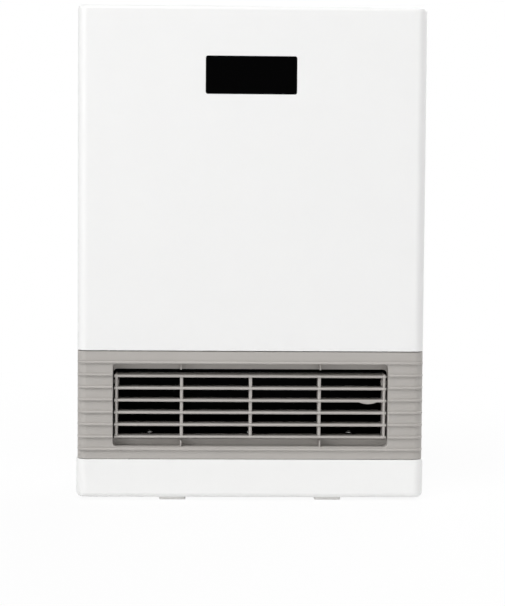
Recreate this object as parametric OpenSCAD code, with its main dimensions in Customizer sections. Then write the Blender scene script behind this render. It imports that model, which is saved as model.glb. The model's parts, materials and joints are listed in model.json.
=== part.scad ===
// Slim ceramic fan heater that stands on the floor.
// +Z is up, the front faces -Y and X runs along the width.
// The origin is on the floor, below the middle of the body.

/* [Body] */
// Width of the painted body
body_w = 338; // [336:1:380]
// Depth of the painted body
body_d = 150; // [149:1:170]
// Height of the heater on its feet
body_h = 480; // [470:1:540]
// Radius of the upright corners
corner_r = 10; // [6:0.5:11]
// Radius of the fold along the top edge
fold_r = 4; // [3:0.5:6]
// How far the base and the ribs stand proud of the body
lip = 1; // [0.8:0.1:1.2]
// Depth of the front panel and of the surround
front_d = 45; // [44:0.5:46]
// Gap at a seam between two shells
seam = 0.3; // [0.2:0.05:0.4]
// How far the rear cover stands in from the depth of the body
back_inset = 1; // [1:0.1:1.5]
// Sheet of the front panel and of the inner plates
sheet_t = 1; // [0.8:0.1:1.2]
// Wall of the moulded covers
wall = 2; // [1.6:0.1:2.4]

/* [Base and feet] */
// Height of a foot
foot_h = 2.5; // [2.4:0.1:5]
// Width of a foot
foot_w = 25.5; // [18:0.5:30]
// Depth of a foot
foot_d = 16; // [12:0.5:18]
// Distance between the feet across the base
foot_span_x = 152; // [120:1:160]
// Distance of a foot's middle from the front or the back of the body
foot_in = 11.5; // [11:0.5:14]
// Height of the base tray
base_h = 37.5; // [34:0.5:45]
// Radius of the lower edge of the base
base_r = 5; // [3:0.5:7]
// Wall of the base tray
base_t = 2.5; // [2:0.1:3]

/* [Outlet surround] */
// Height of the ribbed surround
surround_h = 106; // [105:0.5:115]
// Wall of the surround
surround_t = 2.2; // [1.8:0.1:2.6]
// Number of ribs that run across the surround
rib_count = 8; // [5:1:8]
// Distance from rib to rib
rib_pitch = 12.15; // [11:0.05:12.5]
// Height of one rib
rib_h = 2.5; // [1.5:0.1:4]
// Height of the middle of the lowest rib above the base
rib_lift = 9.9; // [6:0.1:10.5]
// Height of the opening's lower edge above the base
opening_lift = 12.2; // [12:0.1:14]
// Radius of the corners of the opening
opening_r = 4; // [2:0.5:6]
// Depth of the recess round the louvre
recess_d = 13; // [12.5:0.1:13.5]
// Wall of the recess, which also carries the louvre's pins
liner_t = 3; // [2.5:0.1:3.2]
// Thickness of the flange at the back of the recess
flange_t = 2; // [1.5:0.1:2.2]
// Height of the flange that shows below the louvre
sill_low = 6.4; // [5:0.1:8]
// Height of the flange that shows above the louvre
sill_top = 6.5; // [5:0.1:8]
// Distance of the thin gussets from the middle
gusset_x = 68; // [40:1:100]
// Thickness of a gusset
gusset_t = 1.2; // [0.8:0.1:2]

/* [Louvre] */
// Width of the louvre over its end plates
louvre_w = 264.8; // [250:0.2:266]
// Number of slats
slat_count = 6; // [4:1:6]
// Distance from slat to slat
slat_pitch = 11.95; // [11:0.01:12]
// Height of the front face of a slat
slat_h = 2.5; // [2:0.1:3]
// Height of the rear edge of a slat
slat_back_h = 1.5; // [1:0.1:2]
// Depth of a slat
slat_d = 19; // [17:0.5:19.5]
// How far the back of the top slat and the end plates rise above the slat's front
louvre_head = 1.15; // [0.8:0.05:1.8]
// Distance of the louvre's front behind the front panel
louvre_in = 5; // [4.5:0.1:5.5]
// Gap at each side of the louvre
louvre_gap_side = 1.9; // [1.5:0.1:2.2]
// Gap below the louvre
louvre_gap_low = 1.4; // [1.3:0.1:2]
// Gap above the louvre
louvre_gap_top = 4; // [1.6:0.1:4.4]
// Thickness of an end plate
end_plate_t = 2.7; // [2:0.1:3.5]
// Width of an upright rib between the slats
louvre_rib_t = 3.1; // [2:0.1:4]
// Distance between the upright ribs
louvre_rib_pitch = 67.5; // [60:0.5:70]
// Distance of the pivot behind the slats' fronts
pivot_in = 10; // [9.5:0.1:10.5]
// Distance of the pivot below the top of the louvre
pivot_drop = 9; // [8.5:0.1:10]
// Radius of a pivot pin
pin_r = 2; // [1.5:0.1:2.5]
// Width of the finger tab
tab_w = 18.5; // [12:0.5:22]
// Height of the finger tab below its slat
tab_h = 2; // [1:0.1:3]
// Distance of the finger tab's middle from the middle of the louvre
tab_x = 115.85; // [100:0.05:116]

/* [Display] */
// Width of the dark window
window_w = 88; // [80:1:100]
// Height of the dark window
window_h = 36.5; // [32:0.5:42]
// Distance of the window's middle from the middle of the panel
window_x = -1.5; // [-10:0.1:10]
// Distance of the window's top edge below the top of the body
window_drop = 48; // [45:0.5:70]
// Radius of the corners of the window
window_r = 2; // [1:0.1:3]
// Depth of the frame behind the window
holder_d = 12.8; // [11:0.1:16]

/* [Top controls] */
// Height of the top cover
cap_h = 14; // [12:0.5:14]
// Thickness of the roof of the top cover
roof_t = 2.5; // [2:0.1:2.7]
// Length of the recess for the buttons
recess_w = 170; // [160:1:180]
// Width of the recess for the buttons
recess_l = 44; // [36:1:46]
// Depth of the recess for the buttons
recess_h = 2.4; // [2.2:0.1:2.6]
// Thickness of the plate in the recess
fascia_t = 1; // [0.8:0.1:1.2]
// Distance between the buttons
button_pitch = 30; // [26:1:32]
// Radius of an ordinary button
button_r = 6.5; // [5:0.1:7.5]
// Radius of the power button
power_r = 8.5; // [7:0.1:9]
// Travel of a button
button_travel = 1; // [0.6:0.1:1.2]

/* [Air path] */
// Thickness of the outlet duct
duct_t = 1.5; // [1.2:0.1:1.8]
// Height of the duct's roof above the opening
duct_rise = 6.1; // [5:0.1:7]
// Radius of the bend at the back of the duct
duct_r = 30; // [20:1:35]
// Height of the heating pack
heater_h = 26; // [22:0.5:28]
// Length of the fins of the heating pack
heater_l = 200; // [180:1:206]
// Width of one row of fins
fin_w = 11; // [9:0.5:11.5]
// Thickness of the fin strip
fin_t = 0.5; // [0.3:0.1:0.8]
// Number of folds along a row of fins
fin_folds = 20; // [10:1:26]
// Width of a flat heating tube
tube_w = 6; // [5:0.1:6.5]
// Length of the fan rotor
fan_len = 220; // [216:1:224]
// Radius of the fan rotor
fan_r = 32; // [28:0.5:33]
// Number of fan blades
blade_count = 24; // [16:1:32]
// Distance of the fan's middle from the middle of the body
fan_cx = -10; // [-12:1:-8]
// Gap between the rotor and the fan's end plates
fan_gap = 4; // [3:0.5:5]
// Radius of the fan shaft
shaft_r = 3; // [2.5:0.1:4]
// Radius of the fan motor
motor_r = 26; // [22:1:28]
// Length of the fan motor
motor_l = 32; // [26:1:36]

/* [Air filter] */
// Width of the filter frame
filter_w = 250; // [230:1:256]
// Height of the filter frame
filter_h = 180; // [150:1:190]
// Height of the filter's middle above the floor
filter_z = 250; // [245:1:255]
// Depth of the filter frame
filter_d = 5; // [4:0.1:5.5]
// Distance from slot to slot in the intake
slot_pitch = 12; // [10:0.5:14]
// Height of a slot in the intake
slot_h = 7; // [5:0.5:8]

/* [Hand hold and cord inlet] */
// Width of the hand hold
grip_w = 96; // [85:1:110]
// Height of the hand hold
grip_h = 32; // [28:1:34]
// Depth of the hand hold
grip_d = 20; // [16:0.5:22]
// Height of the hand hold's middle below the top
grip_drop = 80; // [75:1:85]
// Radius of the hole in the cord inlet
gland_bore_r = 3.75; // [3:0.05:4.5]
// Radius of the flange of the cord inlet
gland_flange_r = 8; // [7:0.1:9]
// Distance of the cord inlet from the side of the body
gland_in = 25; // [22:1:28]

/* [Tip switch] */
// Radius of the plunger under the base
plunger_r = 3; // [2.5:0.1:4]
// Travel of the plunger
plunger_travel = 3; // [2:0.1:4]

/* [Fits] */
// Radial clearance of a pin, shaft or screw in its hole
running_fit = 0.05; // [0.03:0.01:0.08]
// Clearance round a piece that sits or slides in an opening
loose_fit = 0.3; // [0.2:0.05:0.4]

/* [Hidden] */
$fn = 48;
// How far a cutter reaches past the face that it cuts
past = 1;

// Colours
white = "#f0f0ef";
grey = "#aeaaa8";
dark_grey = "#3a3a3c";
black = "#121214";
steel = "#b9bbbd";
board_green = "#1f5a3a";
stone_grey = "#8d8a86";
brass = "#c9a44c";
bronze = "#b98a4a";
ceramic = "#d8d2c4";
nylon = "#e8e8e6";
relay_blue = "#2b3f6b";
wire_brown = "#7a4a2a";
wire_white = "#d8d8d4";

// Planes of the body
half_w = body_w / 2;
front_y = -body_d / 2;
back_y = body_d / 2 - back_inset;
seam_y = front_y + front_d;
base_top = foot_h + base_h;
floor_z = foot_h + base_t;
band_top = base_top + surround_h;
cap_z = body_h - cap_h;
flat_y = front_y + lip;
inner_x = half_w - wall;
inner_back_y = back_y - wall;
foot_x = foot_span_x / 2;
foot_y = body_d / 2 - foot_in;

// Louvre, its opening and its pivot
louvre_h = (slat_count - 1) * slat_pitch + slat_h + louvre_head;
opening_z0 = base_top + opening_lift;
aperture_z0 = opening_z0 + sill_low;
louvre_z0 = aperture_z0 + louvre_gap_low;
louvre_z1 = louvre_z0 + louvre_h;
aperture_z1 = louvre_z1 + louvre_gap_top;
opening_z1 = aperture_z1 + sill_top;
opening_x = louvre_w / 2 + louvre_gap_side;
louvre_y0 = front_y + louvre_in;
louvre_y1 = louvre_y0 + slat_d;
pivot_y = louvre_y0 + pivot_in;
pivot_z = louvre_z1 - pivot_drop;
pin_wall = 4;
pivot_ear_r = pin_r + pin_wall;
flange_y0 = flat_y + recess_d;
flange_y1 = flange_y0 + flange_t;

// Screws
screw_r = 1.5;
screw_hole_r = screw_r + running_fit;
screw_head_r = 3;
screw_head_h = 1.9;
screw_slot_w = 0.8;
screw_slot_d = 1;
front_screw_l = 6;
case_screw_l = 8;
duct_screw_head_r = 3.5;
duct_screw_l = 12;
duct_screw_pitch = 99.5;

// Duct
duct_drop = 2;
duct_step_h = 4.5;
duct_step_run = 10;
duct_side_gap = 0.5;
duct_screw_in = 8;
duct_low_z = aperture_z0 - duct_drop;
duct_floor_z = duct_low_z + duct_step_h;
duct_top_z = opening_z1 + duct_rise;
duct_step_y = louvre_y1 + duct_step_run;
duct_screw_y = duct_step_y + duct_screw_in;
duct_x = opening_x + liner_t + duct_side_gap;
duct_deck_z = duct_top_z + duct_t;

// Inner plate behind the front panel, with a strip beside each end of the duct
chassis_in = 4;
chassis_drop = 11;
strip_gap = 2.7;
chassis_y0 = seam_y - sheet_t;
chassis_y1 = seam_y;
chassis_x = half_w - chassis_in;
chassis_top = cap_z - chassis_drop;
strip_x0 = duct_x + duct_t + strip_gap;
strip_x = (strip_x0 + chassis_x) / 2;
base_screw_in = 9;
base_screw_y = chassis_y1 + base_screw_in;
base_tab_l = 7;

// Lugs of the front panel and of the surround
lug_t = 1.5;
lug_h = 20;
lug_x0 = strip_x0 + sheet_t;
front_screw_low = 45;
front_screw_mid = 53;
front_screw_drop = 50;
front_screw_z = [base_top + front_screw_low, band_top + front_screw_mid, body_h - front_screw_drop];

// Tabs that the rear cover is screwed to
tab_d = 2.5;
rear_tab_in = 50;
rear_tab_x = half_w - rear_tab_in;
rear_tab_w = 16;
rear_tab_h = 18;
rear_screw_in = 9;
rear_screw_low = base_top + rear_screw_in;
rear_screw_top = cap_z - rear_screw_in;

// Rear intake
pocket_room = 0.5;
pocket_d = filter_d + pocket_room;
pocket_y = back_y - pocket_d - wall;
filter_x = filter_w / 2;
filter_z0 = filter_z - filter_h / 2;
filter_z1 = filter_z + filter_h / 2;
filter_sink = 0.2;
filter_y1 = back_y - filter_sink;
filter_y0 = filter_y1 - filter_d;
filter_r = 4;
mesh_t = 1;
mesh_gap = 0.2;
mesh_rebate = 3;

// Fan between the inner plate and the intake
scroll_gap = 3;
scroll_growth = 7;
scroll_from = 110;
scroll_to = 200;
tongue_at = -50;
tongue_t = 2;
plate_margin = 3;
fan_front = (fan_r + scroll_gap + scroll_growth) * cos(180 - scroll_to) + sheet_t;
fan_rear = fan_r + plate_margin;
fan_room = fan_len + 2 * fan_gap;
fan_x0 = fan_cx - fan_room / 2;
fan_x1 = fan_cx + fan_room / 2;
fan_y = (chassis_y1 + fan_front + pocket_y - fan_rear) / 2;

// Heating pack
fin_rows = 3;
heater_gap = 5;
heater_y0 = chassis_y1 + heater_gap;
heater_y1 = heater_y0 + fin_rows * fin_w + (fin_rows - 1) * tube_w;
heater_z0 = duct_deck_z + sheet_t;
heater_z1 = duct_deck_z + heater_h;
heater_x0 = fan_cx - heater_l / 2;
heater_x1 = fan_cx + heater_l / 2;
heater_flange = 6;
tube_wall = 0.8;
stone_count = 7;
stone_gap = 1;
stone_fit = 0.1;
terminal_step = 15;
terminal_y = [heater_y0 + terminal_step, heater_y0 + 2 * terminal_step];
terminal_z = (heater_z0 + heater_z1) / 2;
terminal_w = 6.3;
terminal_t = 0.8;
terminal_out = 12;
terminal_room = 1;

// Fan bearings and motor
fan_rise = 22.5;
fan_z = heater_z1 + fan_r + fan_rise;
bearing_l = 8;
bush_wall = 3;
bush_r = shaft_r + bush_wall;
mount_wall = 7;
mount_r = bush_r + mount_wall;
bracket_t = 1.5;
bracket_margin = 4;
motor_rim = 2;
motor_x0 = fan_x1 + sheet_t + bracket_t;
motor_x1 = motor_x0 + motor_l;
shaft_end = 3;

// Main board on the inner plate
board_t = 1.6;
board_gap = 6;
board_w = 150;
board_h = 100;
board_shift = 5;
board_lift = 8;
board_x0 = board_shift - board_w / 2;
board_x1 = board_shift + board_w / 2;
board_z0 = fan_z + board_lift;
board_z1 = board_z0 + board_h;
board_y1 = chassis_y0 - board_gap;
board_y0 = board_y1 - board_t;
board_hole_in = 6;

// Top controls
recess_z = body_h - recess_h;
recess_r = 4;
fascia_z = recess_z + fascia_t;
fascia_fit = 0.2;
pocket_z = recess_z - roof_t;
button_shift = 2;
button_y = (seam_y + back_y) / 2 - button_shift;
button_sink = 0.1;
button_top = body_h - button_sink;
button_play = 0.1;
button_flange = 1.3;
button_flange_h = 2;
button_post_h = 4;
button_post_r = 2.5;
button_fit = loose_fit / 1.5;
control_drop = 4;
control_margin = 13;
control_z = cap_z - control_drop;
control_deck = control_z + board_t;
control_x = recess_w / 2 + control_margin;
control_y = recess_l / 2;
boss_in = 5;
boss_r = 3.5;
boss_x = control_x - boss_in;
boss_y = control_y - boss_in;

// Terminal block and wires
block_in = 8;
block_w = 30;
block_d = 16;
block_h = 12;
block_lift = 10;
block_foot = 5;
block_x1 = inner_x - block_in;
block_x0 = block_x1 - block_w;
block_z = base_top + block_lift;
wire_r = 1.3;
wire_step = 3.5;
wire_in = 10;
wire_back = 18;
wire_rise = 70;
wire_end = 0.1;
wire_x = block_x1 - wire_in;
wire_y = back_y - wire_back;
wire_z = board_z0 + wire_rise;
wire_low_z = block_z + block_h + wire_end;
lead_offset = 6.5;
grommet_r = 8;
grommet_x = wire_x + wire_step / 2;
grommet_z = wire_z + wire_step / 2;

// Hand hold and cord inlet
grip_r = 6;
gland_rise = 18;
gland_x = half_w - gland_in;
gland_z = base_top + gland_rise;
gland_wall = 2;
gland_neck_r = gland_bore_r + gland_wall;
gland_l = 6;

// Tip switch in the base, beside a rear foot
tip_beside = 34;
tip_ahead = 18.5;
tip_x = -foot_x - tip_beside;
tip_y = foot_y - tip_ahead;
tip_w = 26;
tip_d = 18;
tip_h = 24;
tip_roof = 2;
plunger_flange = 1.6;
plunger_collar_h = 2;
plunger_collar_up = 11;
plunger_up = 17;
plunger_collar_z = floor_z + plunger_collar_up;
plunger_top = floor_z + plunger_up;
plunger_play = 0.2;

// Flat shapes

module rect(a0, a1, b0, b1) {
    translate([a0, b0]) square([a1 - a0, b1 - b0]);
}

module soft_rect(a0, a1, b0, b1, r) {
    rect(a0 + r, a1 - r, b0, b1);
    rect(a0, a1, b0 + r, b1 - r);
    for (a = [a0 + r, a1 - r], b = [b0 + r, b1 - r])
        translate([a, b]) circle(r);
}

// Rectangle with only its two lower corners rounded
module tub_rect(a0, a1, b0, b1, r) {
    rect(a0 + r, a1 - r, b0, b1);
    rect(a0, a1, b0 + r, b1);
    for (a = [a0 + r, a1 - r])
        translate([a, b0 + r]) circle(r);
}

module spot(a, b, r) {
    translate([a, b]) circle(r);
}

// Flat shapes drawn out along one axis

// Along X from x0 to x1, drawn in Y and Z
module run_x(x0, x1) {
    translate([x0, 0, 0]) rotate([90, 0, 90]) linear_extrude(x1 - x0) children();
}

// Along Y from y0 to y1, drawn in X and Z
module run_y(y0, y1) {
    translate([0, y1, 0]) rotate([90, 0, 0]) linear_extrude(y1 - y0) children();
}

// Along Z from z0 to z1, drawn in X and Y
module run_z(z0, z1) {
    translate([0, 0, z0]) linear_extrude(z1 - z0) children();
}

module at_both_sides() {
    children();
    mirror([1, 0, 0]) children();
}

// Seen from above, the body grown or shrunk by a step
module body_plan(grow) {
    soft_rect(-half_w - grow, half_w + grow, -body_d / 2 - grow, body_d / 2 + grow, corner_r + grow);
}

// Seen from above, the rear half of the body
module rear_plan(shrink) {
    soft_rect(-half_w + shrink, half_w - shrink, front_y, back_y - shrink, corner_r - shrink);
}

// Pan head screw with a cross recess; the head lies below z = 0 and the shank points to +Z
module pan_screw(head_r, shank_l) {
    slot_l = 1.1 * head_r;
    difference() {
        union() {
            translate([0, 0, -screw_head_h]) cylinder(r = head_r, h = screw_head_h);
            cylinder(r = screw_r, h = shank_l);
        }
        for (turn = [0, 90])
            rotate([0, 0, turn])
                translate([-slot_l / 2, -screw_slot_w / 2, -screw_head_h - past])
                    cube([slot_l, screw_slot_w, past + screw_slot_d]);
    }
}

// Round wire along straight stretches with ball corners
module wire(points) {
    for (i = [0 : len(points) - 2]) {
        step = points[i + 1] - points[i];
        reach = norm(step);
        translate(points[i])
            rotate([0, acos(step[2] / reach), atan2(step[1], step[0])])
                cylinder(r = wire_r, h = reach);
    }
    for (i = [1 : len(points) - 2])
        translate(points[i]) sphere(wire_r);
}

// Front panel and display

// Bent sheet seen as a solid, shrunk by a step, from a height up to the top fold
module panel_form(shrink, z0, y1) {
    r = fold_r - shrink;
    top = body_h - shrink;
    y0 = front_y + shrink;
    intersection() {
        run_z(z0, top) body_plan(-shrink);
        run_x(-half_w, half_w) {
            rect(y0, y1, z0, top - r);
            rect(y0 + r, y1, z0, top);
            spot(y0 + r, top - r, r);
        }
    }
}

window_z1 = body_h - window_drop;
window_z0 = window_z1 - window_h;
window_x0 = window_x - window_w / 2;
window_x1 = window_x + window_w / 2;
window_rim = 3;
window_flange_t = 1.2;
window_back_y = front_y + sheet_t + window_flange_t;
window_proud = 0.2;
holder_y1 = window_back_y + holder_d;
holder_wall = window_rim + 1;

module window_shape(grow) {
    soft_rect(window_x0 - grow, window_x1 + grow, window_z0 - grow, window_z1 + grow, window_r + grow);
}

module front_panel() {
    panel_z0 = band_top + 2 * seam;
    color(white) {
        difference() {
            panel_form(0, panel_z0, seam_y);
            panel_form(sheet_t, panel_z0 - past, seam_y + past);
            run_y(front_y - past, front_y + corner_r) window_shape(loose_fit / 2);
        }
        at_both_sides() difference() {
            for (z = [front_screw_z[1], front_screw_z[2]])
                run_y(chassis_y0 - lug_t, chassis_y0)
                    rect(lug_x0, half_w - sheet_t / 2, z - lug_h / 2, z + lug_h / 2);
            front_screw_holes();
        }
    }
}

module display_window() {
    color(black) {
        run_y(front_y + window_proud, front_y + sheet_t + window_proud) window_shape(0);
        run_y(front_y + sheet_t, window_back_y) window_shape(window_rim);
    }
}

module display_holder() {
    color(dark_grey) run_y(window_back_y, holder_y1) difference() {
        window_shape(holder_wall);
        window_shape(-window_r);
    }
}

module display_board() {
    color(board_green) run_y(holder_y1, holder_y1 + board_t) window_shape(window_rim);
}

module display_digits() {
    digit_w = 13;
    digit_h = 20;
    digit_d = 8;
    digit_r = 0.5;
    digit_step = 15;
    lamp_r = 1.5;
    lamp_x = 32;
    lamp_step = 8;
    lamp_d = 6;
    mid_z = (window_z0 + window_z1) / 2;
    color(dark_grey) {
        for (i = [-1 : 1])
            run_y(holder_y1 - digit_d, holder_y1)
                translate([window_x + i * digit_step, mid_z])
                    soft_rect(-digit_w / 2, digit_w / 2, -digit_h / 2, digit_h / 2, digit_r);
        for (side = [-1, 1], k = [-1 : 1])
            run_y(holder_y1 - lamp_d, holder_y1)
                spot(window_x + side * lamp_x, mid_z + k * lamp_step, lamp_r);
    }
}

// Outlet surround and louvre

module front_screw_holes() {
    for (z = front_screw_z)
        run_y(chassis_y0 - lug_t - past, chassis_y1 + past) spot(strip_x, z, screw_hole_r);
}

module opening_shape(grow) {
    soft_rect(-opening_x - grow, opening_x + grow, opening_z0 - grow, opening_z1 + grow, opening_r + grow);
}

module outlet_surround() {
    z0 = base_top + seam;
    duct_lip = 1;
    color(grey) {
        difference() {
            union() {
                surround_band(z0);
                run_y(flat_y + surround_t / 2, flange_y1) opening_shape(liner_t);
                run_y(flange_y0, flange_y1)
                    rect(-duct_x - duct_t - duct_lip, duct_x + duct_t + duct_lip,
                         opening_z0 - liner_t, duct_deck_z + duct_lip);
                at_both_sides() run_x(opening_x, opening_x + liner_t) spot(pivot_y, pivot_z, pivot_ear_r);
            }
            run_y(front_y - lip - past, flange_y0) opening_shape(0);
            run_y(flange_y0 - past, flange_y1 + past)
                rect(-opening_x, opening_x, aperture_z0, aperture_z1);
            run_x(-half_w, half_w) spot(pivot_y, pivot_z, pin_r + running_fit);
        }
        recess_gussets();
        at_both_sides() difference() {
            run_y(chassis_y0 - lug_t, chassis_y0)
                rect(lug_x0, half_w - surround_t / 2,
                     front_screw_z[0] - lug_h / 2, front_screw_z[0] + lug_h / 2);
            front_screw_holes();
        }
    }
}

// Wrapped band with its ribs, cut off at the seam; the ribs stand out to the front only
module surround_band(z0) {
    intersection() {
        difference() {
            union() {
                run_z(z0, band_top) translate([0, lip]) body_plan(0);
                for (i = [0 : rib_count - 1])
                    run_z(base_top + rib_lift + i * rib_pitch - rib_h / 2,
                          base_top + rib_lift + i * rib_pitch + rib_h / 2)
                        translate([0, -lip]) body_plan(0);
            }
            run_z(z0 - past, band_top + past) translate([0, lip]) body_plan(-surround_t);
        }
        run_z(z0, band_top) rect(-body_w, body_w, -body_d, seam_y);
    }
}

module recess_gussets() {
    edge = 0.4;
    front = flat_y + 1;
    for (x = [-gusset_x, gusset_x])
        run_x(x - gusset_t / 2, x + gusset_t / 2) {
            rect(front, flange_y0, aperture_z1 + edge, opening_z1);
            rect(front, flange_y0, opening_z0, aperture_z0 - edge);
        }
}

// One slat seen from the side, with a round nose
module slat_profile(z) {
    nose = slat_h / 2;
    spot(louvre_y0 + nose, z, nose);
    polygon([
        [louvre_y0 + nose, z - nose],
        [louvre_y1, z + nose - slat_back_h],
        [louvre_y1, z + nose],
        [louvre_y0 + nose, z + nose]
    ]);
}

// Raised back of the top slat seen from the side
module head_wedge(back) {
    nose = slat_h / 2;
    top = louvre_z1 - louvre_head;
    polygon([[louvre_y0 + nose, top - nose], [back, top - nose], [back, louvre_z1], [louvre_y0 + nose, top]]);
}

module louvre() {
    x1 = louvre_w / 2;
    plate_r = 2;
    rib_back = 1.5;
    tab_r = (tab_w * tab_w / 4 + tab_h * tab_h) / (2 * tab_h);
    tab_z = louvre_z0 + (slat_count - 3) * slat_pitch;
    tab_t = 2.4;
    tab_back = 0.3;
    plate_back = 0.5;
    pin_end = 0.3;
    hub_r = pin_r + 1.5;
    hub_t = 1;
    color(grey) {
        for (i = [0 : slat_count - 1])
            run_x(-x1 + end_plate_t / 2, x1 - end_plate_t / 2)
                slat_profile(louvre_z0 + slat_h / 2 + i * slat_pitch);
        run_x(-x1 + end_plate_t / 2, x1 - end_plate_t / 2) head_wedge(louvre_y1 - plate_r);
        at_both_sides() {
            run_x(x1 - end_plate_t, x1) {
                soft_rect(louvre_y0, louvre_y1, louvre_z0, louvre_z1, plate_r);
                rect(louvre_y0 + plate_back, louvre_y1, louvre_z0, louvre_z0 + plate_r);
            }
            run_x(x1 - end_plate_t / 2, x1 + louvre_gap_side + liner_t - pin_end)
                spot(pivot_y, pivot_z, pin_r);
            run_x(x1 - end_plate_t - hub_t, x1 - end_plate_t / 2) spot(pivot_y, pivot_z, hub_r);
        }
        for (i = [-1 : 1])
            run_x(i * louvre_rib_pitch - louvre_rib_t / 2, i * louvre_rib_pitch + louvre_rib_t / 2)
                rect(louvre_y0 + rib_back, louvre_y1 - rib_back,
                     louvre_z0 + slat_h / 2, louvre_z1 - louvre_head - slat_h / 2);
        intersection() {
            run_y(louvre_y0 + tab_back, louvre_y0 + tab_back + tab_t)
                spot(tab_x, tab_z - tab_h + tab_r, tab_r);
            run_y(louvre_y0, louvre_y0 + tab_back + tab_t)
                rect(tab_x - tab_w, tab_x + tab_w, tab_z - tab_h - past, tab_z + slat_h / 2);
        }
    }
}

// Base and feet

module base_form(grow, z0, r) {
    x = half_w + lip + grow;
    y = body_d / 2 + lip + grow;
    intersection() {
        run_z(z0, base_top) body_plan(lip + grow);
        run_y(-y, y) tub_rect(-x, x, z0, base_top, r);
        run_x(-x, x) tub_rect(-y, y, z0, base_top, r);
    }
}

module duct_screw_spots(r) {
    for (i = [-1 : 1])
        spot(i * duct_screw_pitch, duct_screw_y, r);
}

module base_screw_spots(r) {
    for (side = [-1, 1])
        spot(side * strip_x, base_screw_y, r);
}

module foot_pin_spots(r) {
    for (x = [-foot_x, foot_x], y = [-foot_y, foot_y])
        spot(x, y, r);
}

module base_tray() {
    post_r = 4.5;
    tray_in = body_d / 2 + lip - base_t;
    pilot_l = 14;
    arm_drop = 12;
    arm_top = 0.5;
    root_z = floor_z - base_t / 2;
    color(white) difference() {
        union() {
            difference() {
                base_form(0, foot_h, base_r);
                run_z(floor_z, base_top + past) body_plan(lip - base_t);
            }
            run_z(root_z, duct_floor_z - duct_t) duct_screw_spots(post_r);
            run_z(root_z, block_z)
                rect(block_x0 + block_foot, block_x1 - block_foot,
                     wire_y - block_d / 2, wire_y + block_d / 2);
            for (x = [-rear_tab_x, rear_tab_x])
                run_x(x - rear_tab_w / 2, x + rear_tab_w / 2) {
                    rect(inner_back_y - tab_d, tray_in + base_t / 2,
                         base_top - arm_drop, base_top - arm_top);
                    rect(inner_back_y - tab_d, inner_back_y,
                         base_top - arm_drop, base_top + rear_tab_h);
                }
        }
        run_z(duct_floor_z - duct_t - pilot_l, duct_floor_z) duct_screw_spots(screw_hole_r);
        run_z(foot_h - past, floor_z + past) base_screw_spots(screw_hole_r);
        run_z(foot_h - past, floor_z + past) foot_pin_spots(foot_pin_r + running_fit);
        run_z(foot_h - past, floor_z + past) spot(tip_x, tip_y, plunger_r + loose_fit);
        run_y(inner_back_y - tab_d - past, back_y + lip)
            rear_screw_spots(rear_screw_low, screw_hole_r);
    }
}

foot_pin_r = 4;

module base_feet() {
    pad_r = 2;
    color(white) {
        run_z(0, foot_h)
            for (x = [-foot_x, foot_x], y = [-foot_y, foot_y])
                soft_rect(x - foot_w / 2, x + foot_w / 2, y - foot_d / 2, y + foot_d / 2, pad_r);
        run_z(foot_h / 2, floor_z) foot_pin_spots(foot_pin_r);
    }
}

// Rear cover, air filter and cord inlet

module rear_screw_spots(z, r) {
    for (x = [-rear_tab_x, rear_tab_x])
        spot(x, z, r);
}

module grip_shape(grow) {
    z = body_h - grip_drop;
    r = grip_r + grow;
    soft_rect(-grip_w / 2 - grow, grip_w / 2 + grow, z - grip_h / 2 - grow, z + grip_h / 2 + grow, r);
}

module filter_shape(grow) {
    soft_rect(-filter_x - grow, filter_x + grow, filter_z0 - grow, filter_z1 + grow, filter_r + grow);
}

// Slots of the intake, in four columns
module intake_slots() {
    columns = 4;
    bar = 6;
    margin = 10;
    step = (filter_w - 2 * margin + bar) / columns;
    rows = floor((filter_h - 2 * margin) / slot_pitch);
    for (row = [0 : rows - 1], column = [0 : columns - 1])
        let (x = -filter_x + margin + column * step,
             z = filter_z + (row - (rows - 1) / 2) * slot_pitch)
            rect(x, x + step - bar, z - slot_h / 2, z + slot_h / 2);
}

module rear_cover() {
    y0 = seam_y + seam;
    z0 = base_top + seam;
    z1 = cap_z - seam;
    gland_fit = 0.1;
    color(white) difference() {
        union() {
            difference() {
                run_z(z0, z1) rear_plan(0);
                run_z(z0 - past, z1 + past) rear_plan(wall);
                run_z(z0 - past, z1 + past) rect(-body_w, body_w, -body_d, y0);
            }
            run_y(pocket_y, back_y) filter_shape(loose_fit + wall);
            run_y(back_y - grip_d - wall, back_y) grip_shape(wall);
        }
        run_y(back_y - pocket_d, back_y + past) filter_shape(loose_fit);
        run_y(pocket_y - past, back_y) intake_slots();
        run_y(back_y - grip_d, back_y + past) grip_shape(0);
        run_y(inner_back_y - past, back_y + past) {
            rear_screw_spots(rear_screw_low, screw_r + loose_fit);
            rear_screw_spots(rear_screw_top, screw_r + loose_fit);
            spot(gland_x, gland_z, gland_neck_r + gland_fit);
        }
    }
}

// Frame with three upright bars and one that lies across, and a notch for a finger
module filter_frame() {
    bar = 4;
    notch_r = 12;
    notch_up = 2;
    notch_d = 2;
    color(grey) difference() {
        run_y(filter_y0, filter_y1) filter_shape(0);
        difference() {
            run_y(filter_y0 - past, filter_y1 + past) filter_shape(-mesh_rebate);
            run_y(filter_y0, filter_y1) {
                for (i = [-1 : 1])
                    rect(i * filter_x / 2 - bar / 2, i * filter_x / 2 + bar / 2, filter_z0, filter_z1);
                rect(-filter_x, filter_x, filter_z - bar / 2, filter_z + bar / 2);
                filter_border();
            }
        }
        run_y(filter_y0 - past, filter_y0 + mesh_gap + mesh_t) filter_shape(-mesh_rebate);
        run_y(filter_y1 - notch_d, filter_y1 + past) spot(0, filter_z1 + notch_up, notch_r);
    }
}

module filter_border() {
    width = 7;
    difference() {
        filter_shape(0);
        rect(-filter_x + width, filter_x - width, filter_z0 + width, filter_z1 - width);
    }
}

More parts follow.
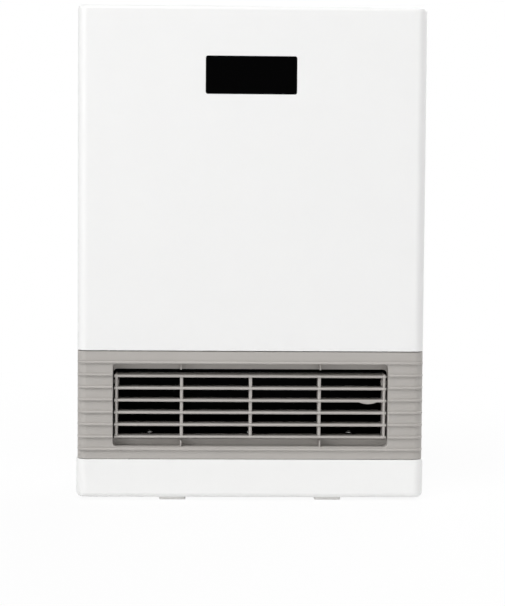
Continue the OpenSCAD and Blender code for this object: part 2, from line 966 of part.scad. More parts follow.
// Fine net of the filter, as one thin sheet
module filter_mesh() {
    inset = mesh_rebate + mesh_gap;
    color(dark_grey) run_y(filter_y0 + mesh_gap, filter_y0 + mesh_gap + mesh_t)
        filter_shape(-inset);
}

module mains_gland() {
    flange = 2;
    collar = 1.6;
    collar_l = 3;
    collar_gap = 0.1;
    color(black) difference() {
        union() {
            run_y(inner_back_y - gland_l, back_y) spot(gland_x, gland_z, gland_neck_r);
            run_y(back_y, back_y + flange) spot(gland_x, gland_z, gland_flange_r);
            run_y(inner_back_y - collar_l, inner_back_y - collar_gap)
                spot(gland_x, gland_z, gland_neck_r + collar);
        }
        run_y(inner_back_y - gland_l - past, back_y + flange + past) spot(gland_x, gland_z, gland_bore_r);
    }
}

// Top cover and its controls

button_x = [for (i = [-2 : 2]) i * button_pitch];

module control_recess(grow) {
    soft_rect(-recess_w / 2 - grow, recess_w / 2 + grow,
              button_y - recess_l / 2 - grow, button_y + recess_l / 2 + grow, recess_r + grow);
}

module button_holes(clear) {
    spot(button_x[0], button_y, power_r + clear);
    for (i = [1 : 4])
        spot(button_x[i], button_y, button_r + clear);
}

// Top cover as a solid with a rounded rear edge, shrunk by a step
module cap_form(shrink, z0) {
    r = fold_r - min(shrink, fold_r - 1);
    top = body_h - shrink;
    y1 = back_y - shrink;
    intersection() {
        run_z(z0, top) rear_plan(shrink);
        run_x(-half_w, half_w) {
            rect(front_y, y1, z0, top - r);
            rect(front_y, y1 - r, z0, top);
            spot(y1 - r, top - r, r);
        }
    }
}

module top_cover() {
    y0 = seam_y + seam;
    tab_root = 5;
    color(white) difference() {
        union() {
            difference() {
                cap_form(0, cap_z);
                cap_form(roof_t, cap_z - past);
                run_z(cap_z - past, body_h + past) rect(-body_w, body_w, -body_d, y0);
            }
            run_z(pocket_z, body_h - roof_t / 2) control_recess(roof_t);
            for (x = [-boss_x, boss_x], y = [-boss_y, boss_y])
                run_z(control_deck, body_h - roof_t / 2) spot(x, button_y + y, boss_r);
            for (x = [-rear_tab_x, rear_tab_x])
                run_x(x - rear_tab_w / 2, x + rear_tab_w / 2)
                    rect(inner_back_y - tab_d, inner_back_y, cap_z - rear_tab_h, cap_z + tab_root);
        }
        run_z(recess_z, body_h + past) control_recess(0);
        run_z(pocket_z - past, recess_z + past) button_holes(button_fit);
        run_y(inner_back_y - tab_d - past, inner_back_y + past)
            rear_screw_spots(rear_screw_top, screw_hole_r);
    }
}

module control_fascia() {
    color(dark_grey) run_z(recess_z, fascia_z) difference() {
        control_recess(-fascia_fit);
        button_holes(button_fit);
    }
}

module push_button(x, r) {
    flange_top = pocket_z - button_play;
    flange_low = flange_top - button_flange_h;
    run_z(flange_low, button_top) spot(x, button_y, r);
    run_z(flange_low, flange_top) spot(x, button_y, r + button_flange);
    run_z(flange_low - button_post_h, flange_low) spot(x, button_y, button_post_r);
}

module power_button() {
    color(white) push_button(button_x[0], power_r);
}

module mode_button() {
    color(grey) push_button(button_x[1], button_r);
}

module warmer_button() {
    color(grey) push_button(button_x[2], button_r);
}

module cooler_button() {
    color(grey) push_button(button_x[3], button_r);
}

module timer_button() {
    color(grey) push_button(button_x[4], button_r);
}

module control_board() {
    color(board_green) run_z(control_z, control_z + board_t)
        rect(-control_x, control_x, button_y - control_y, button_y + control_y);
}

module tact_switches() {
    half = 3;
    stem_r = 1.7;
    stem_gap = 0.3;
    case_h = 3.5;
    stem_least = 0.4;
    switch_top = pocket_z - button_play - button_flange_h - button_post_h - button_travel - stem_gap;
    case_top = min(control_deck + case_h, switch_top - stem_least);
    color(black) for (x = button_x) {
        run_z(control_deck, case_top) rect(x - half, x + half, button_y - half, button_y + half);
        run_z(case_top - stem_least / 2, switch_top) spot(x, button_y, stem_r);
    }
}

module buzzer() {
    case_r = 5;
    case_h = 4.5;
    hole_r = 1;
    buzzer_in = 23;
    buzzer_back = 12;
    x = control_x - buzzer_in;
    y = button_y + buzzer_back;
    color(black) run_z(control_deck, control_deck + case_h) difference() {
        spot(x, y, case_r);
        spot(x, y, hole_r);
    }
}

// Inner plate and heat shield

module chassis_plate() {
    z0 = heater_z0 + seam;
    color(steel) difference() {
        union() {
            run_y(chassis_y0, chassis_y1) rect(-chassis_x, chassis_x, z0, chassis_top);
            at_both_sides() {
                run_y(chassis_y0, chassis_y1) rect(strip_x0, chassis_x, floor_z, z0 + past);
                run_z(floor_z, floor_z + sheet_t)
                    rect(strip_x0, chassis_x, chassis_y0, base_screw_y + base_tab_l);
            }
        }
        at_both_sides() front_screw_holes();
        run_z(foot_h, floor_z + 2 * sheet_t) base_screw_spots(screw_hole_r);
        run_y(chassis_y0 - past, chassis_y1 + past) spot(grommet_x, grommet_z, grommet_r);
    }
}

module heat_shield() {
    gap = 9;
    foot = 5;
    height = 45;
    end_in = 6;
    y = chassis_y0 - gap;
    thin = sheet_t / 2;
    color(steel) run_x(-duct_x + end_in, duct_x - end_in) {
        rect(y, y + thin, duct_deck_z, duct_deck_z + height);
        rect(y, y + foot, duct_deck_z, duct_deck_z + thin);
    }
}

// Outlet duct

module duct_profile(grow, y0) {
    bend_y = heater_y1 - duct_r;
    z1 = duct_top_z + grow;
    rect(y0, duct_step_y + grow, duct_low_z - grow, z1);
    rect(duct_step_y, bend_y, duct_floor_z - grow, z1);
    rect(duct_step_y, heater_y1 + grow, duct_floor_z + duct_r, z1);
    spot(bend_y, duct_floor_z + duct_r, duct_r + grow);
}

module outlet_duct() {
    color(black) difference() {
        run_x(-duct_x - duct_t, duct_x + duct_t) duct_profile(duct_t, flange_y1);
        run_x(-duct_x, duct_x) duct_profile(0, flange_y1 - past);
        run_z(duct_top_z - past, duct_deck_z + past) rect(fan_x0, fan_x1, heater_y0, heater_y1);
        run_z(duct_floor_z - 2 * duct_t, duct_floor_z + past) duct_screw_spots(screw_hole_r);
    }
}

module duct_screws() {
    color(steel) for (i = [-1 : 1])
        translate([i * duct_screw_pitch, duct_screw_y, duct_floor_z])
            mirror([0, 0, 1]) pan_screw(duct_screw_head_r, duct_screw_l);
}

// Heating pack

module heater_frame() {
    slot = terminal_t / 2 + terminal_room;
    slot_half = terminal_w / 2 + terminal_room;
    color(steel) difference() {
        union() {
            run_z(duct_deck_z, heater_z0)
                rect(fan_x0 - heater_flange, fan_x1 + heater_flange,
                     chassis_y1, heater_y1 + sheet_t);
            run_z(duct_deck_z, heater_z1)
                rect(fan_x0 - sheet_t, fan_x1 + sheet_t, heater_y0 - sheet_t, heater_y1 + sheet_t);
        }
        run_z(duct_deck_z - past, heater_z1 + past) rect(fan_x0, fan_x1, heater_y0, heater_y1);
        run_x(fan_x1 - past, fan_x1 + 2 * past)
            for (y = terminal_y)
                rect(y - slot, y + slot, terminal_z - slot_half, terminal_z + slot_half);
    }
}

module heater_end_blocks() {
    color(black) run_z(duct_deck_z, heater_z1) {
        rect(fan_x0, heater_x0, heater_y0, heater_y1);
        rect(heater_x1, fan_x1, heater_y0, heater_y1);
    }
}

function tube_y(i) = heater_y0 + fin_w + i * (fin_w + tube_w);

module heater_tubes() {
    color(steel) for (i = [0 : fin_rows - 2])
        run_x(heater_x0, heater_x1) difference() {
            rect(tube_y(i), tube_y(i) + tube_w, duct_deck_z, heater_z1);
            rect(tube_y(i) + tube_wall, tube_y(i) + tube_w - tube_wall,
                 duct_deck_z + tube_wall, heater_z1 - tube_wall);
        }
}

module ptc_stones() {
    step = heater_l / stone_count;
    color(stone_grey) for (i = [0 : fin_rows - 2], k = [0 : stone_count - 1])
        run_x(heater_x0 + k * step + stone_gap / 2, heater_x0 + (k + 1) * step - stone_gap / 2)
            rect(tube_y(i) + tube_wall + stone_fit, tube_y(i) + tube_w - tube_wall - stone_fit,
                 duct_deck_z + tube_wall + stone_fit, heater_z1 - tube_wall - stone_fit);
}

// Folded fin strip seen from above
module fin_strip(y0) {
    pitch = heater_l / fin_folds;
    half = pitch / 2;
    y1 = y0 + fin_w;
    difference() {
        rect(heater_x0, heater_x1, y0, y1);
        for (k = [0 : fin_folds - 1])
            let (x = heater_x0 + k * pitch) {
                rect(x + fin_t, x + half, y0 + fin_t, y1 + past);
                rect(x + half + fin_t, x + pitch, y0 - past, y1 - fin_t);
            }
    }
}

module heater_fins() {
    color(steel) run_z(duct_deck_z, heater_z1)
        for (row = [0 : fin_rows - 1])
            fin_strip(heater_y0 + row * (fin_w + tube_w));
}

module heater_terminals() {
    half = terminal_w / 2;
    color(brass) for (y = terminal_y)
        run_x(fan_x1, fan_x1 + terminal_out)
            rect(y - terminal_t / 2, y + terminal_t / 2, terminal_z - half, terminal_z + half);
}

cutout_in = 10;

module thermal_cutout() {
    x = 60;
    y = flange_y1 + cutout_in;
    case_r = 8;
    case_h = 8;
    ear_x = 12;
    ear_y = 4;
    ear_t = 0.8;
    blade_x = 4;
    blade_y = 3;
    blade_t = 0.8;
    blade_h = 8;
    color(black) {
        run_z(duct_deck_z, duct_deck_z + case_h) spot(x, y, case_r);
        run_z(duct_deck_z, duct_deck_z + ear_t) rect(x - ear_x, x + ear_x, y - ear_y, y + ear_y);
        for (side = [-1, 1])
            run_z(duct_deck_z + case_h - ear_t, duct_deck_z + case_h + blade_h)
                translate([x + side * blade_x, y])
                    rect(-blade_t / 2, blade_t / 2, -blade_y, blade_y);
    }
}

module thermal_fuse() {
    x = -40;
    y = flange_y1 + cutout_in;
    fuse_r = 2;
    fuse_l = 14;
    clip_l = 6;
    clip_y = 3;
    clip_h = 2.5;
    color(ceramic) {
        run_x(x - fuse_l / 2, x + fuse_l / 2) spot(y, duct_deck_z + fuse_r + sheet_t, fuse_r);
        run_x(x - clip_l / 2, x + clip_l / 2)
            rect(y - clip_y, y + clip_y, duct_deck_z, duct_deck_z + clip_h);
    }
}

// Fan

function fan_point(angle, r) = [fan_y + r * cos(angle), fan_z + r * sin(angle)];
function scroll_r(angle) =
    fan_r + scroll_gap + scroll_growth * (angle - scroll_from) / (scroll_to - scroll_from);

module fan_scroll() {
    turns = [scroll_from : 10 : scroll_to];
    back_turns = [scroll_to : -10 : scroll_from];
    color(steel) run_x(fan_x0, fan_x1) polygon(concat(
        [for (a = turns) fan_point(a, scroll_r(a))],
        [[heater_y0, heater_z1], [heater_y0 - sheet_t, heater_z1]],
        [for (a = back_turns) fan_point(a, scroll_r(a) + sheet_t)]
    ));
}

module fan_tongue() {
    tip = fan_point(tongue_at, fan_r + scroll_gap + tongue_t / 2);
    lean = [tongue_t * 0.4, -tongue_t * 0.3];
    color(steel) run_x(fan_x0, fan_x1) {
        polygon([
            [heater_y1, heater_z1],
            [heater_y1 + sheet_t, heater_z1],
            tip + lean,
            tip - lean
        ]);
        spot(tip[0], tip[1], tongue_t / 2);
    }
}

module fan_end_plates() {
    flange = 12;
    flange_in = 5;
    headroom = 8;
    hole_r = bush_r + 1;
    y1 = fan_y + fan_rear;
    z1 = fan_z + fan_r + headroom;
    color(steel) difference() {
        union() {
            run_x(fan_x0 - sheet_t, fan_x0) rect(chassis_y1, y1, heater_z1, z1);
            run_x(fan_x1, fan_x1 + sheet_t) rect(chassis_y1, y1, heater_z1, z1);
            run_y(chassis_y1, chassis_y1 + sheet_t) {
                rect(fan_x0 - flange, fan_x0 - sheet_t / 2, heater_z1 + flange_in, z1 - flange_in);
                rect(fan_x1 + sheet_t / 2, fan_x1 + flange, heater_z1 + flange_in, z1 - flange_in);
            }
        }
        run_x(fan_x0 - 2 * sheet_t, fan_x1 + 2 * sheet_t) spot(fan_y, fan_z, hole_r);
    }
}

module bearing_mount() {
    color(black) run_x(fan_x0 - sheet_t - bearing_l, fan_x0 - sheet_t) difference() {
        spot(fan_y, fan_z, mount_r);
        spot(fan_y, fan_z, bush_r + running_fit);
    }
}

module fan_bush() {
    color(bronze) run_x(fan_x0 - sheet_t - bearing_l, fan_x0 - sheet_t) difference() {
        spot(fan_y, fan_z, bush_r);
        spot(fan_y, fan_z, shaft_r + running_fit);
    }
}

// Blade seen along the shaft: a short arc between two radii
module blade_profile() {
    tip_in = 0.3;
    root = fan_r - blade_d;
    tip = fan_r - tip_in;
    lean = 12;
    steps = 3;
    blade_turn = 2.4;
    inner = [for (i = [0 : steps])
        let (s = i / steps) blade_point(root + (tip - root) * s, lean * s * s)];
    outer = [for (i = [steps : -1 : 0])
        let (s = i / steps) blade_point(root + (tip - root) * s, lean * s * s + blade_turn)];
    polygon(concat(inner, outer));
}

blade_d = 7;
function blade_point(r, angle) = [r * cos(angle), r * sin(angle)];

module fan_rotor() {
    x0 = fan_cx - fan_len / 2;
    x1 = fan_cx + fan_len / 2;
    disc_t = 2;
    ring_t = 1.5;
    ring_in = 0.5;
    hub_r = shaft_r + 5;
    hub_l = 12;
    color(black) difference() {
        union() {
            run_x(x0, x0 + disc_t) spot(fan_y, fan_z, fan_r);
            run_x(x1 - disc_t, x1) spot(fan_y, fan_z, fan_r);
            run_x(x0, x0 + hub_l) spot(fan_y, fan_z, hub_r);
            run_x(x1 - hub_l, x1) spot(fan_y, fan_z, hub_r);
            for (i = [-1 : 1])
                run_x(fan_cx + i * fan_len / 4 - ring_t / 2, fan_cx + i * fan_len / 4 + ring_t / 2)
                    difference() {
                        spot(fan_y, fan_z, fan_r);
                        spot(fan_y, fan_z, fan_r - blade_d - ring_in);
                    }
            run_x(x0 + disc_t / 2, x1 - disc_t / 2)
                translate([fan_y, fan_z])
                    for (i = [0 : blade_count - 1])
                        rotate(i * 360 / blade_count) blade_profile();
        }
        run_x(x0 - past, x1 + past) spot(fan_y, fan_z, shaft_r + running_fit);
    }
}

module fan_shaft() {
    color(steel) run_x(fan_x0 - sheet_t - bearing_l - shaft_end, motor_x1 + shaft_end)
        spot(fan_y, fan_z, shaft_r);
}

module motor_bracket() {
    half = motor_r + bracket_margin;
    soft = 6;
    color(steel) run_x(fan_x1 + sheet_t, motor_x0) difference() {
        soft_rect(fan_y - half, fan_y + half, fan_z - half, fan_z + half, soft);
        spot(fan_y, fan_z, bush_r + 1);
    }
}

module fan_motor() {
    collar_r = bush_r + 2;
    vent_r = 2.5;
    vent_d = 3;
    vent_count = 8;
    vent_at = motor_r * 0.68;
    color(dark_grey) difference() {
        union() {
            run_x(motor_x0, motor_x1) spot(fan_y, fan_z, motor_r);
            run_x(motor_x1 - past, motor_x1 + motor_rim) spot(fan_y, fan_z, collar_r);
            run_x(motor_x0, motor_x0 + motor_rim) spot(fan_y, fan_z, motor_r + motor_rim);
        }
        run_x(motor_x0 - past, motor_x1 + motor_rim + past) spot(fan_y, fan_z, shaft_r + running_fit);
        run_x(motor_x1 - vent_d, motor_x1 + past)
            for (i = [0 : vent_count - 1])
                translate([fan_y, fan_z]) rotate(i * 360 / vent_count) spot(vent_at, 0, vent_r);
    }
}

// Main board

module standoff_spots(r) {
    for (x = [board_x0 + board_hole_in, board_x1 - board_hole_in],
         z = [board_z0 + board_hole_in, board_z1 - board_hole_in])
        spot(x, z, r);
}

module main_board() {
    color(board_green) run_y(board_y0, board_y1) difference() {
        rect(board_x0, board_x1, board_z0, board_z1);
        standoff_spots(screw_hole_r);
    }
}

module board_standoffs() {
    post_r = 3;
    head_r = screw_r + 0.8;
    head_h = 1.5;
    color(nylon) {
        run_y(board_y1, chassis_y0) standoff_spots(post_r);
        run_y(board_y0 - head_h, chassis_y0) standoff_spots(screw_r);
        run_y(board_y0 - head_h, board_y0) standoff_spots(head_r);
    }
}

// Block on the board, placed from the board's lower corner; its size is width, height and depth
module on_board(at, size) {
    run_y(board_y0 - size[2], board_y0)
        translate([board_x0 + at[0], board_z0 + at[1]]) square([size[0], size[1]]);
}

module power_relays() {
    relay = [18, 28, 15];
    relay_at = [90, 14];
    relay_step = 24;
    color(relay_blue) for (i = [0 : 1])
        on_board(relay_at + [i * relay_step, 0], relay);
}

module transformer() {
    coil = [32, 28, 12];
    coil_at = [18, 16];
    core = [20, 36, 24];
    core_at = [24, 12];
    color(bronze) on_board(coil_at, coil);
    color(dark_grey) difference() {
        on_board(core_at, core);
        on_board(coil_at, coil);
    }
}

module capacitors() {
    can_r = 6.5;
    can_h = 20;
    can_step = 18;
    can_at = [20, 70];
    color(black) for (i = [0 : 1])
        run_y(board_y0 - can_h, board_y0)
            spot(board_x0 + can_at[0] + i * can_step, board_z0 + can_at[1], can_r);
}

module heat_sink() {
    sink_at = [80, 66];
    spine = [24, 3, 22];
    fin = [2, 16, 22];
    fin_step = 5.5;
    color(steel) {
        on_board(sink_at, spine);
        for (i = [0 : 4])
            on_board(sink_at + [i * fin_step, spine[1] - 1], fin);
    }
}

module terminal_block() {
    y0 = wire_y - block_d / 2;
    y1 = wire_y + block_d / 2;
    hole_r = 1.6;
    hole_d = 4;
    hole_in = 4;
    hole_y = 3;
    holes = 4;
    hole_step = (block_w - 2 * hole_in) / (holes - 1);
    color(nylon) difference() {
        run_z(block_z, block_z + block_h) rect(block_x0, block_x1, y0, y1);
        for (i = [0 : holes - 1])
            run_z(block_z + block_h - hole_d, block_z + block_h + past)
                spot(block_x0 + hole_in + i * hole_step, y0 + hole_y, hole_r);
    }
}

module power_leads() {
    x_end = board_x1 + loose_fit;
    y_end = (board_y0 + board_y1) / 2;
    color(wire_brown) for (k = [0 : 1])
        let (x = wire_x + k * wire_step, z = wire_z + k * wire_step)
            wire([[x, wire_y, wire_low_z], [x, wire_y, z], [x, y_end, z], [x_end, y_end, z]]);
}

module heater_leads() {
    x_from = fan_x1 + terminal_out + wire_end;
    z = terminal_z;
    color(wire_white) for (k = [0 : 1])
        let (x = wire_x - lead_offset - k * wire_step, y = terminal_y[k])
            wire([[x_from, y, z], [x, y, z], [x, wire_y, z], [x, wire_y, wire_low_z]]);
}

module wire_grommet() {
    hole_r = 5;
    rim = 1.5;
    color(black) difference() {
        union() {
            run_y(chassis_y0 - rim, chassis_y1 + rim) spot(grommet_x, grommet_z, grommet_r - running_fit);
            run_y(chassis_y0 - rim, chassis_y0) spot(grommet_x, grommet_z, grommet_r + rim);
            run_y(chassis_y1, chassis_y1 + rim) spot(grommet_x, grommet_z, grommet_r + rim);
        }
        run_y(chassis_y0 - 2 * rim, chassis_y1 + 2 * rim) spot(grommet_x, grommet_z, hole_r);
    }
}

module room_sensor() {
    sensor_in = 25;
    sensor_w = 6;
    sensor_h = 10;
    sensor_d = 8;
    bead_r = 2.4;
    above = 15;
    x = -inner_x + sensor_in;
    z = filter_z1 + above;
    y = inner_back_y - sensor_d;
    color(ceramic) {
        run_y(y, inner_back_y) rect(x - sensor_w / 2, x + sensor_w / 2, z, z + sensor_h);
        translate([x, y, z + sensor_h / 2]) sphere(bead_r);
    }
}

// Tip switch

module tip_switch_housing() {
    chamber_r = plunger_r + plunger_flange + loose_fit;
    chamber_z = plunger_collar_z - plunger_travel - plunger_play;
    top = floor_z + tip_h;
    color(black) difference() {
        run_z(floor_z, top)
            rect(tip_x - tip_w / 2, tip_x + tip_w / 2, tip_y - tip_d / 2, tip_y + tip_d / 2);
        run_z(floor_z - past, top - tip_roof) spot(tip_x, tip_y, plunger_r + 2 * running_fit);
        run_z(chamber_z, top - tip_roof) spot(tip_x, tip_y, chamber_r);
    }
}

// Rests on the floor and drops when the heater is lifted or falls over
module tip_switch_plunger() {
    color(nylon) {
        run_z(0, plunger_top) spot(tip_x, tip_y, plunger_r);
        run_z(plunger_collar_z, plunger_collar_z + plunger_collar_h)
            spot(tip_x, tip_y, plunger_r + plunger_flange);
    }
}

module tip_microswitch() {
    case_w = 7;
    case_h = 12;
    case_lift = 8;
    pin_step = 5;
    pin_w = 0.8;
    pin_h = 3;
    pin_l = 5;
    x0 = tip_x + tip_w / 2;
    z0 = floor_z + case_lift;
    color(black) {
        run_z(z0, z0 + case_h) rect(x0, x0 + case_w, tip_y - tip_d / 2, tip_y + tip_d / 2);
        for (i = [-1 : 1])
            run_x(x0 + case_w - pin_w, x0 + case_w + pin_l)
                translate([tip_y + i * pin_step, z0 + pin_h]) rect(-pin_w / 2, pin_w / 2, 0, pin_h);
    }
}

// Fasteners of the case, all alike

module case_screws() {
    color(steel) {
        for (side = [-1, 1], z = front_screw_z)
            translate([side * strip_x, chassis_y1, z]) rotate([90, 0, 0])
                pan_screw(screw_head_r, front_screw_l);
        for (side = [-1, 1], z = [rear_screw_low, rear_screw_top])
            translate([side * rear_tab_x, back_y, z]) rotate([90, 0, 0])
                pan_screw(screw_head_r, case_screw_l);
        for (side = [-1, 1])
            translate([side * strip_x, base_screw_y, foot_h]) pan_screw(screw_head_r, case_screw_l);
    }
}

front_panel();
display_window();
display_holder();
display_board();
display_digits();
outlet_surround();
louvre();
base_tray();
base_feet();
rear_cover();
filter_frame();
filter_mesh();
top_cover();
control_fascia();
control_board();
tact_switches();
buzzer();
power_button();
mode_button();
warmer_button();
cooler_button();
timer_button();
chassis_plate();
heat_shield();
outlet_duct();
duct_screws();
heater_frame();
heater_end_blocks();
heater_tubes();
ptc_stones();
heater_fins();
heater_terminals();
thermal_cutout();
thermal_fuse();
fan_scroll();
fan_tongue();
fan_end_plates();
bearing_mount();
fan_bush();
fan_rotor();
fan_shaft();
motor_bracket();
fan_motor();
main_board();
board_standoffs();
power_relays();
transformer();
capacitors();
heat_sink();
terminal_block();
power_leads();
heater_leads();
wire_grommet();
room_sensor();
tip_switch_housing();
tip_switch_plunger();
tip_microswitch();
mains_gland();
case_screws();
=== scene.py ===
import json
import math

import bmesh
import bpy
from mathutils import Matrix, Vector
from mathutils.geometry import tessellate_polygon

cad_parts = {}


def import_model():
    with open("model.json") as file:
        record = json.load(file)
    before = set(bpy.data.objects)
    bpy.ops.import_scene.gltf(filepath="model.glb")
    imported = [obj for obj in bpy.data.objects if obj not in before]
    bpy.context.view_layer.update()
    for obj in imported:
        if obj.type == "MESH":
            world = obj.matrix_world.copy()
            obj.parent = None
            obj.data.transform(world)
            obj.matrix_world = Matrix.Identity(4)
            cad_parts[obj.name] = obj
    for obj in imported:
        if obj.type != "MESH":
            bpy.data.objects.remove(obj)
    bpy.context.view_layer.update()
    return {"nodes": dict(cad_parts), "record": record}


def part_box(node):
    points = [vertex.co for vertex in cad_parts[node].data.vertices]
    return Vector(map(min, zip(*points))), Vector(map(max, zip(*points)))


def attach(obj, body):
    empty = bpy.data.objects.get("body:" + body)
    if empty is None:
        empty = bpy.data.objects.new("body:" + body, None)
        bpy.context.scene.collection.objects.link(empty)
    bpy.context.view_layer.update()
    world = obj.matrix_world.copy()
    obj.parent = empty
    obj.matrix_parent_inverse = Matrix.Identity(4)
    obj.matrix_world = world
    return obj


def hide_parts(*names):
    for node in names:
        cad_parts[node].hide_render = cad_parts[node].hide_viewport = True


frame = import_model()

# Lengths on the object are in mm, and MM turns them into metres. The studio is in metres.
MM = 0.001
# A right angle in radians
QUARTER = math.pi / 2
# Points closer than this become one
WELD = 0.001
# Edges that turn by more degrees than this stay hard
SHARP = 38
# Gap between the parts of the case
SEAM = 0.3
# Edge radius of the CAD nodes that show as they are
CAD_EDGE = 0.2
# Smallest radius of a turned body, where it closes to a point
POINT_R = 0.05
# Steps in a quarter turn: of an edge, a rib, a bend and a corner of the case
EDGE_STEPS, RIB_STEPS, BEND_STEPS, CORNER_STEPS = 3, 4, 6, 8


def span(node):
    """Lowest and highest places of a CAD node in mm: x0, x1, y0, y1, z0, z1."""
    low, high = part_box(node)
    return [v / MM for pair in zip(low, high) for v in pair]


# The case
HALF_W, FRONT_Y, SEAM_Y, PANEL_Z0, TOP_Z = span("front_panel")[1:]
BACK_Y, CASE_Z0 = span("rear_cover")[3:5]
CAP_Z = span("top_cover")[4]
CASE_R, FOLD_R = 10, 4
SHEET_T, COVER_T = 1, 2
CASE_EDGE = 0.25

# The grey band round the outlet
BAND_X, CREST_Y, _, BAND_Z0, BAND_Z1 = span("outlet_surround")[1:]
BAND_EDGE, BAND_BACK = 0.5, 2.2
RIB_COUNT, RIB_PITCH, RIB_Z = 8, 12.15, 49.9
RIB_H, RIB_D, RIB_EDGE = 2.5, 2, 1.1
FLAT_Y = CREST_Y + RIB_D
OPENING_X, OPENING_Z0 = 134.3, 52.2
OPENING_Z1 = RIB_Z + (RIB_COUNT - 1) * RIB_PITCH - RIB_H / 2
OPENING_R, OPENING_EDGE = 4, 0.7
FLANGE_Y0, FLANGE_Y1, FLANGE_EDGE = -61, -59, 0.25
MOUTH_Z0, MOUTH_Z1 = 58.6, 127.4
GUSSET_X, GUSSET_T, GUSSET_R = 68, 1.2, 0.3
GUSSET_DROP, GUSSET_LAP, GUSSET_GAP = 1, 0.2, 0.4

# The louvre
PIN_X, VANE_Y0, VANE_Y1, VANE_Z0, VANE_Z1 = span("louvre")[1:]
VANE_GAP = 1.9
VANE_X = OPENING_X - VANE_GAP
SLAT_COUNT, SLAT_PITCH = 6, 11.95
SLAT_H, SLAT_BACK_H, SLAT_BACK_R = 2.5, 1.5, 0.4
SLAT_PAST, SLAT_EDGE = 0.8, 0.35
HEAD_Z = VANE_Z0 + SLAT_H + (SLAT_COUNT - 1) * SLAT_PITCH
HEAD_T = 0.6
END_T, END_R, END_EDGE = 2.7, 2, 1.3
BRACE_PITCH, BRACE_T, BRACE_BACK, BRACE_R, BRACE_EDGE = 67.5, 3.1, 1.5, 0.5, 0.9
PIVOT_Y, PIVOT_Z, PIN_R = -60, 114.4, 2
HUB_R, HUB_T, HUB_EDGE = 3.5, 1, 0.3
TAB_X, TAB_W, TAB_H, TAB_T = 115.1, 17, 1.6, 2.4
TAB_SLAT, TAB_BACK, TAB_EDGE = 3, 0.3, 0.5

# The base and what is under it
_, BASE_X, _, BASE_Y, BASE_Z0, _ = span("base_tray")
BASE_Z1 = CASE_Z0 - SEAM
BASE_R, BASE_LOW_R, BASE_EDGE, BASE_T = 11, 5, 0.5, 2.5
FOOT_X, FOOT_Y, FOOT_W, FOOT_D, FOOT_R = 76, 63.5, 25.5, 16, 2
FOOT_EDGE, FOOT_TOP_EDGE, FOOT_PIN_R = 0.5, 0.05, 4
GROOVE_IN, GROOVE_W, GROOVE_R, GROOVE_D = 4, 4, 1.5, 0.6
PLUNGER_X, PLUNGER_Y, PLUNGER_HOLE_R = -110, 45, 3.3

# The back
FILTER = span("filter_frame")
FILTER_R, FILTER_FIT, FILTER_BAR, FILTER_BORDER, CELL_R = 4, 0.3, 4, 7, 1.5
FILTER_EDGE_IN, FILTER_EDGE_OUT, JOINT_EDGE, JOINT_LAP = 0.4, 0.5, 0.02, 0.01
NOTCH_R, NOTCH_UP, NOTCH_D = 12, 2, 2
POCKET_D, POCKET_EDGE, POCKET_FLOOR_R = 5.5, 0.4, 0.3
SLOT_ROWS, SLOT_COLUMNS, SLOT_PITCH = 13, 4, 12
SLOT_H, SLOT_BAR, SLOT_MARGIN, SLOT_R = 7, 6, 10, 1
GRIP_W, GRIP_H, GRIP_Z, GRIP_R = 96, 32, 400, 6
GRIP_D, GRIP_EDGE, GRIP_FLOOR_R = 20, 1.6, 2
NET = span("filter_mesh")
NET_PITCH, THREAD_R, THREAD_SIDES = 3, 0.28, 6
# Distance of a thread from the middle of the net, in thread radii
THREAD_OFF = 0.8

# The window and the controls
WINDOW_X0, WINDOW_X1, WINDOW_Z0, WINDOW_Z1 = -45.5, 42.5, 395.5, 432
WINDOW_Y0, WINDOW_Y1 = span("display_window")[2:4]
WINDOW_R, WINDOW_FIT = 2, 0.15
RECESS_X, RECESS_Y0, RECESS_Y1, RECESS_Z = 85, -2, 42, 477.6
RECESS_R, RECESS_EDGE, RECESS_FLOOR_R = 4, 0.5, 0.3
FASCIA = span("control_fascia")
FASCIA_R, FASCIA_EDGE, FASCIA_LOW_EDGE = 3.7, 0.25, 0.1
# Place across and radius of each button
BUTTONS = {"power": (-60, 8.5), "mode": (-30, 6.5), "warmer": (0, 6.5), "cooler": (30, 6.5),
           "timer": (60, 6.5)}
BUTTON_Y, BUTTON_FIT, BUTTON_EDGE = 20, 0.3, 0.7
DISH_IN, DISH_D = 0.5, 0.55
BUTTON_FLANGE_H, POST_R, POST_H = 2, 2.5, 4

# The screws in the duct
HEAD_H, SHANK_R = 1.9, 1.4


# Loops and surfaces

def quarter(steps):
    """Angles of a quarter turn in radians."""
    return [QUARTER * i / steps for i in range(steps + 1)]


def arc(u, v, r, start, end, steps):
    """Points on an arc round (u, v), with its angles in radians."""
    angles = [start + (end - start) * i / steps for i in range(steps + 1)]
    return [(u + r * math.cos(a), v + r * math.sin(a)) for a in angles]


def rounded(u0, u1, v0, v1, r, steps=BEND_STEPS):
    """Points of a rectangle with round corners, from its lower right corner round."""
    centres = [(u1 - r, v0 + r), (u1 - r, v1 - r), (u0 + r, v1 - r), (u0 + r, v0 + r)]
    points = []
    for i, (u, v) in enumerate(centres):
        points += arc(u, v, r, (i - 1) * QUARTER, i * QUARTER, steps)
    return points


def centred(u, v, width, height, r, steps=BEND_STEPS):
    """Points of a rectangle with round corners and its middle at (u, v)."""
    return rounded(u - width / 2, u + width / 2, v - height / 2, v + height / 2, r, steps)


def disc(u, v, r, steps=32):
    """Points of a circle."""
    return arc(u, v, r, 0, 4 * QUARTER, steps)[:-1]


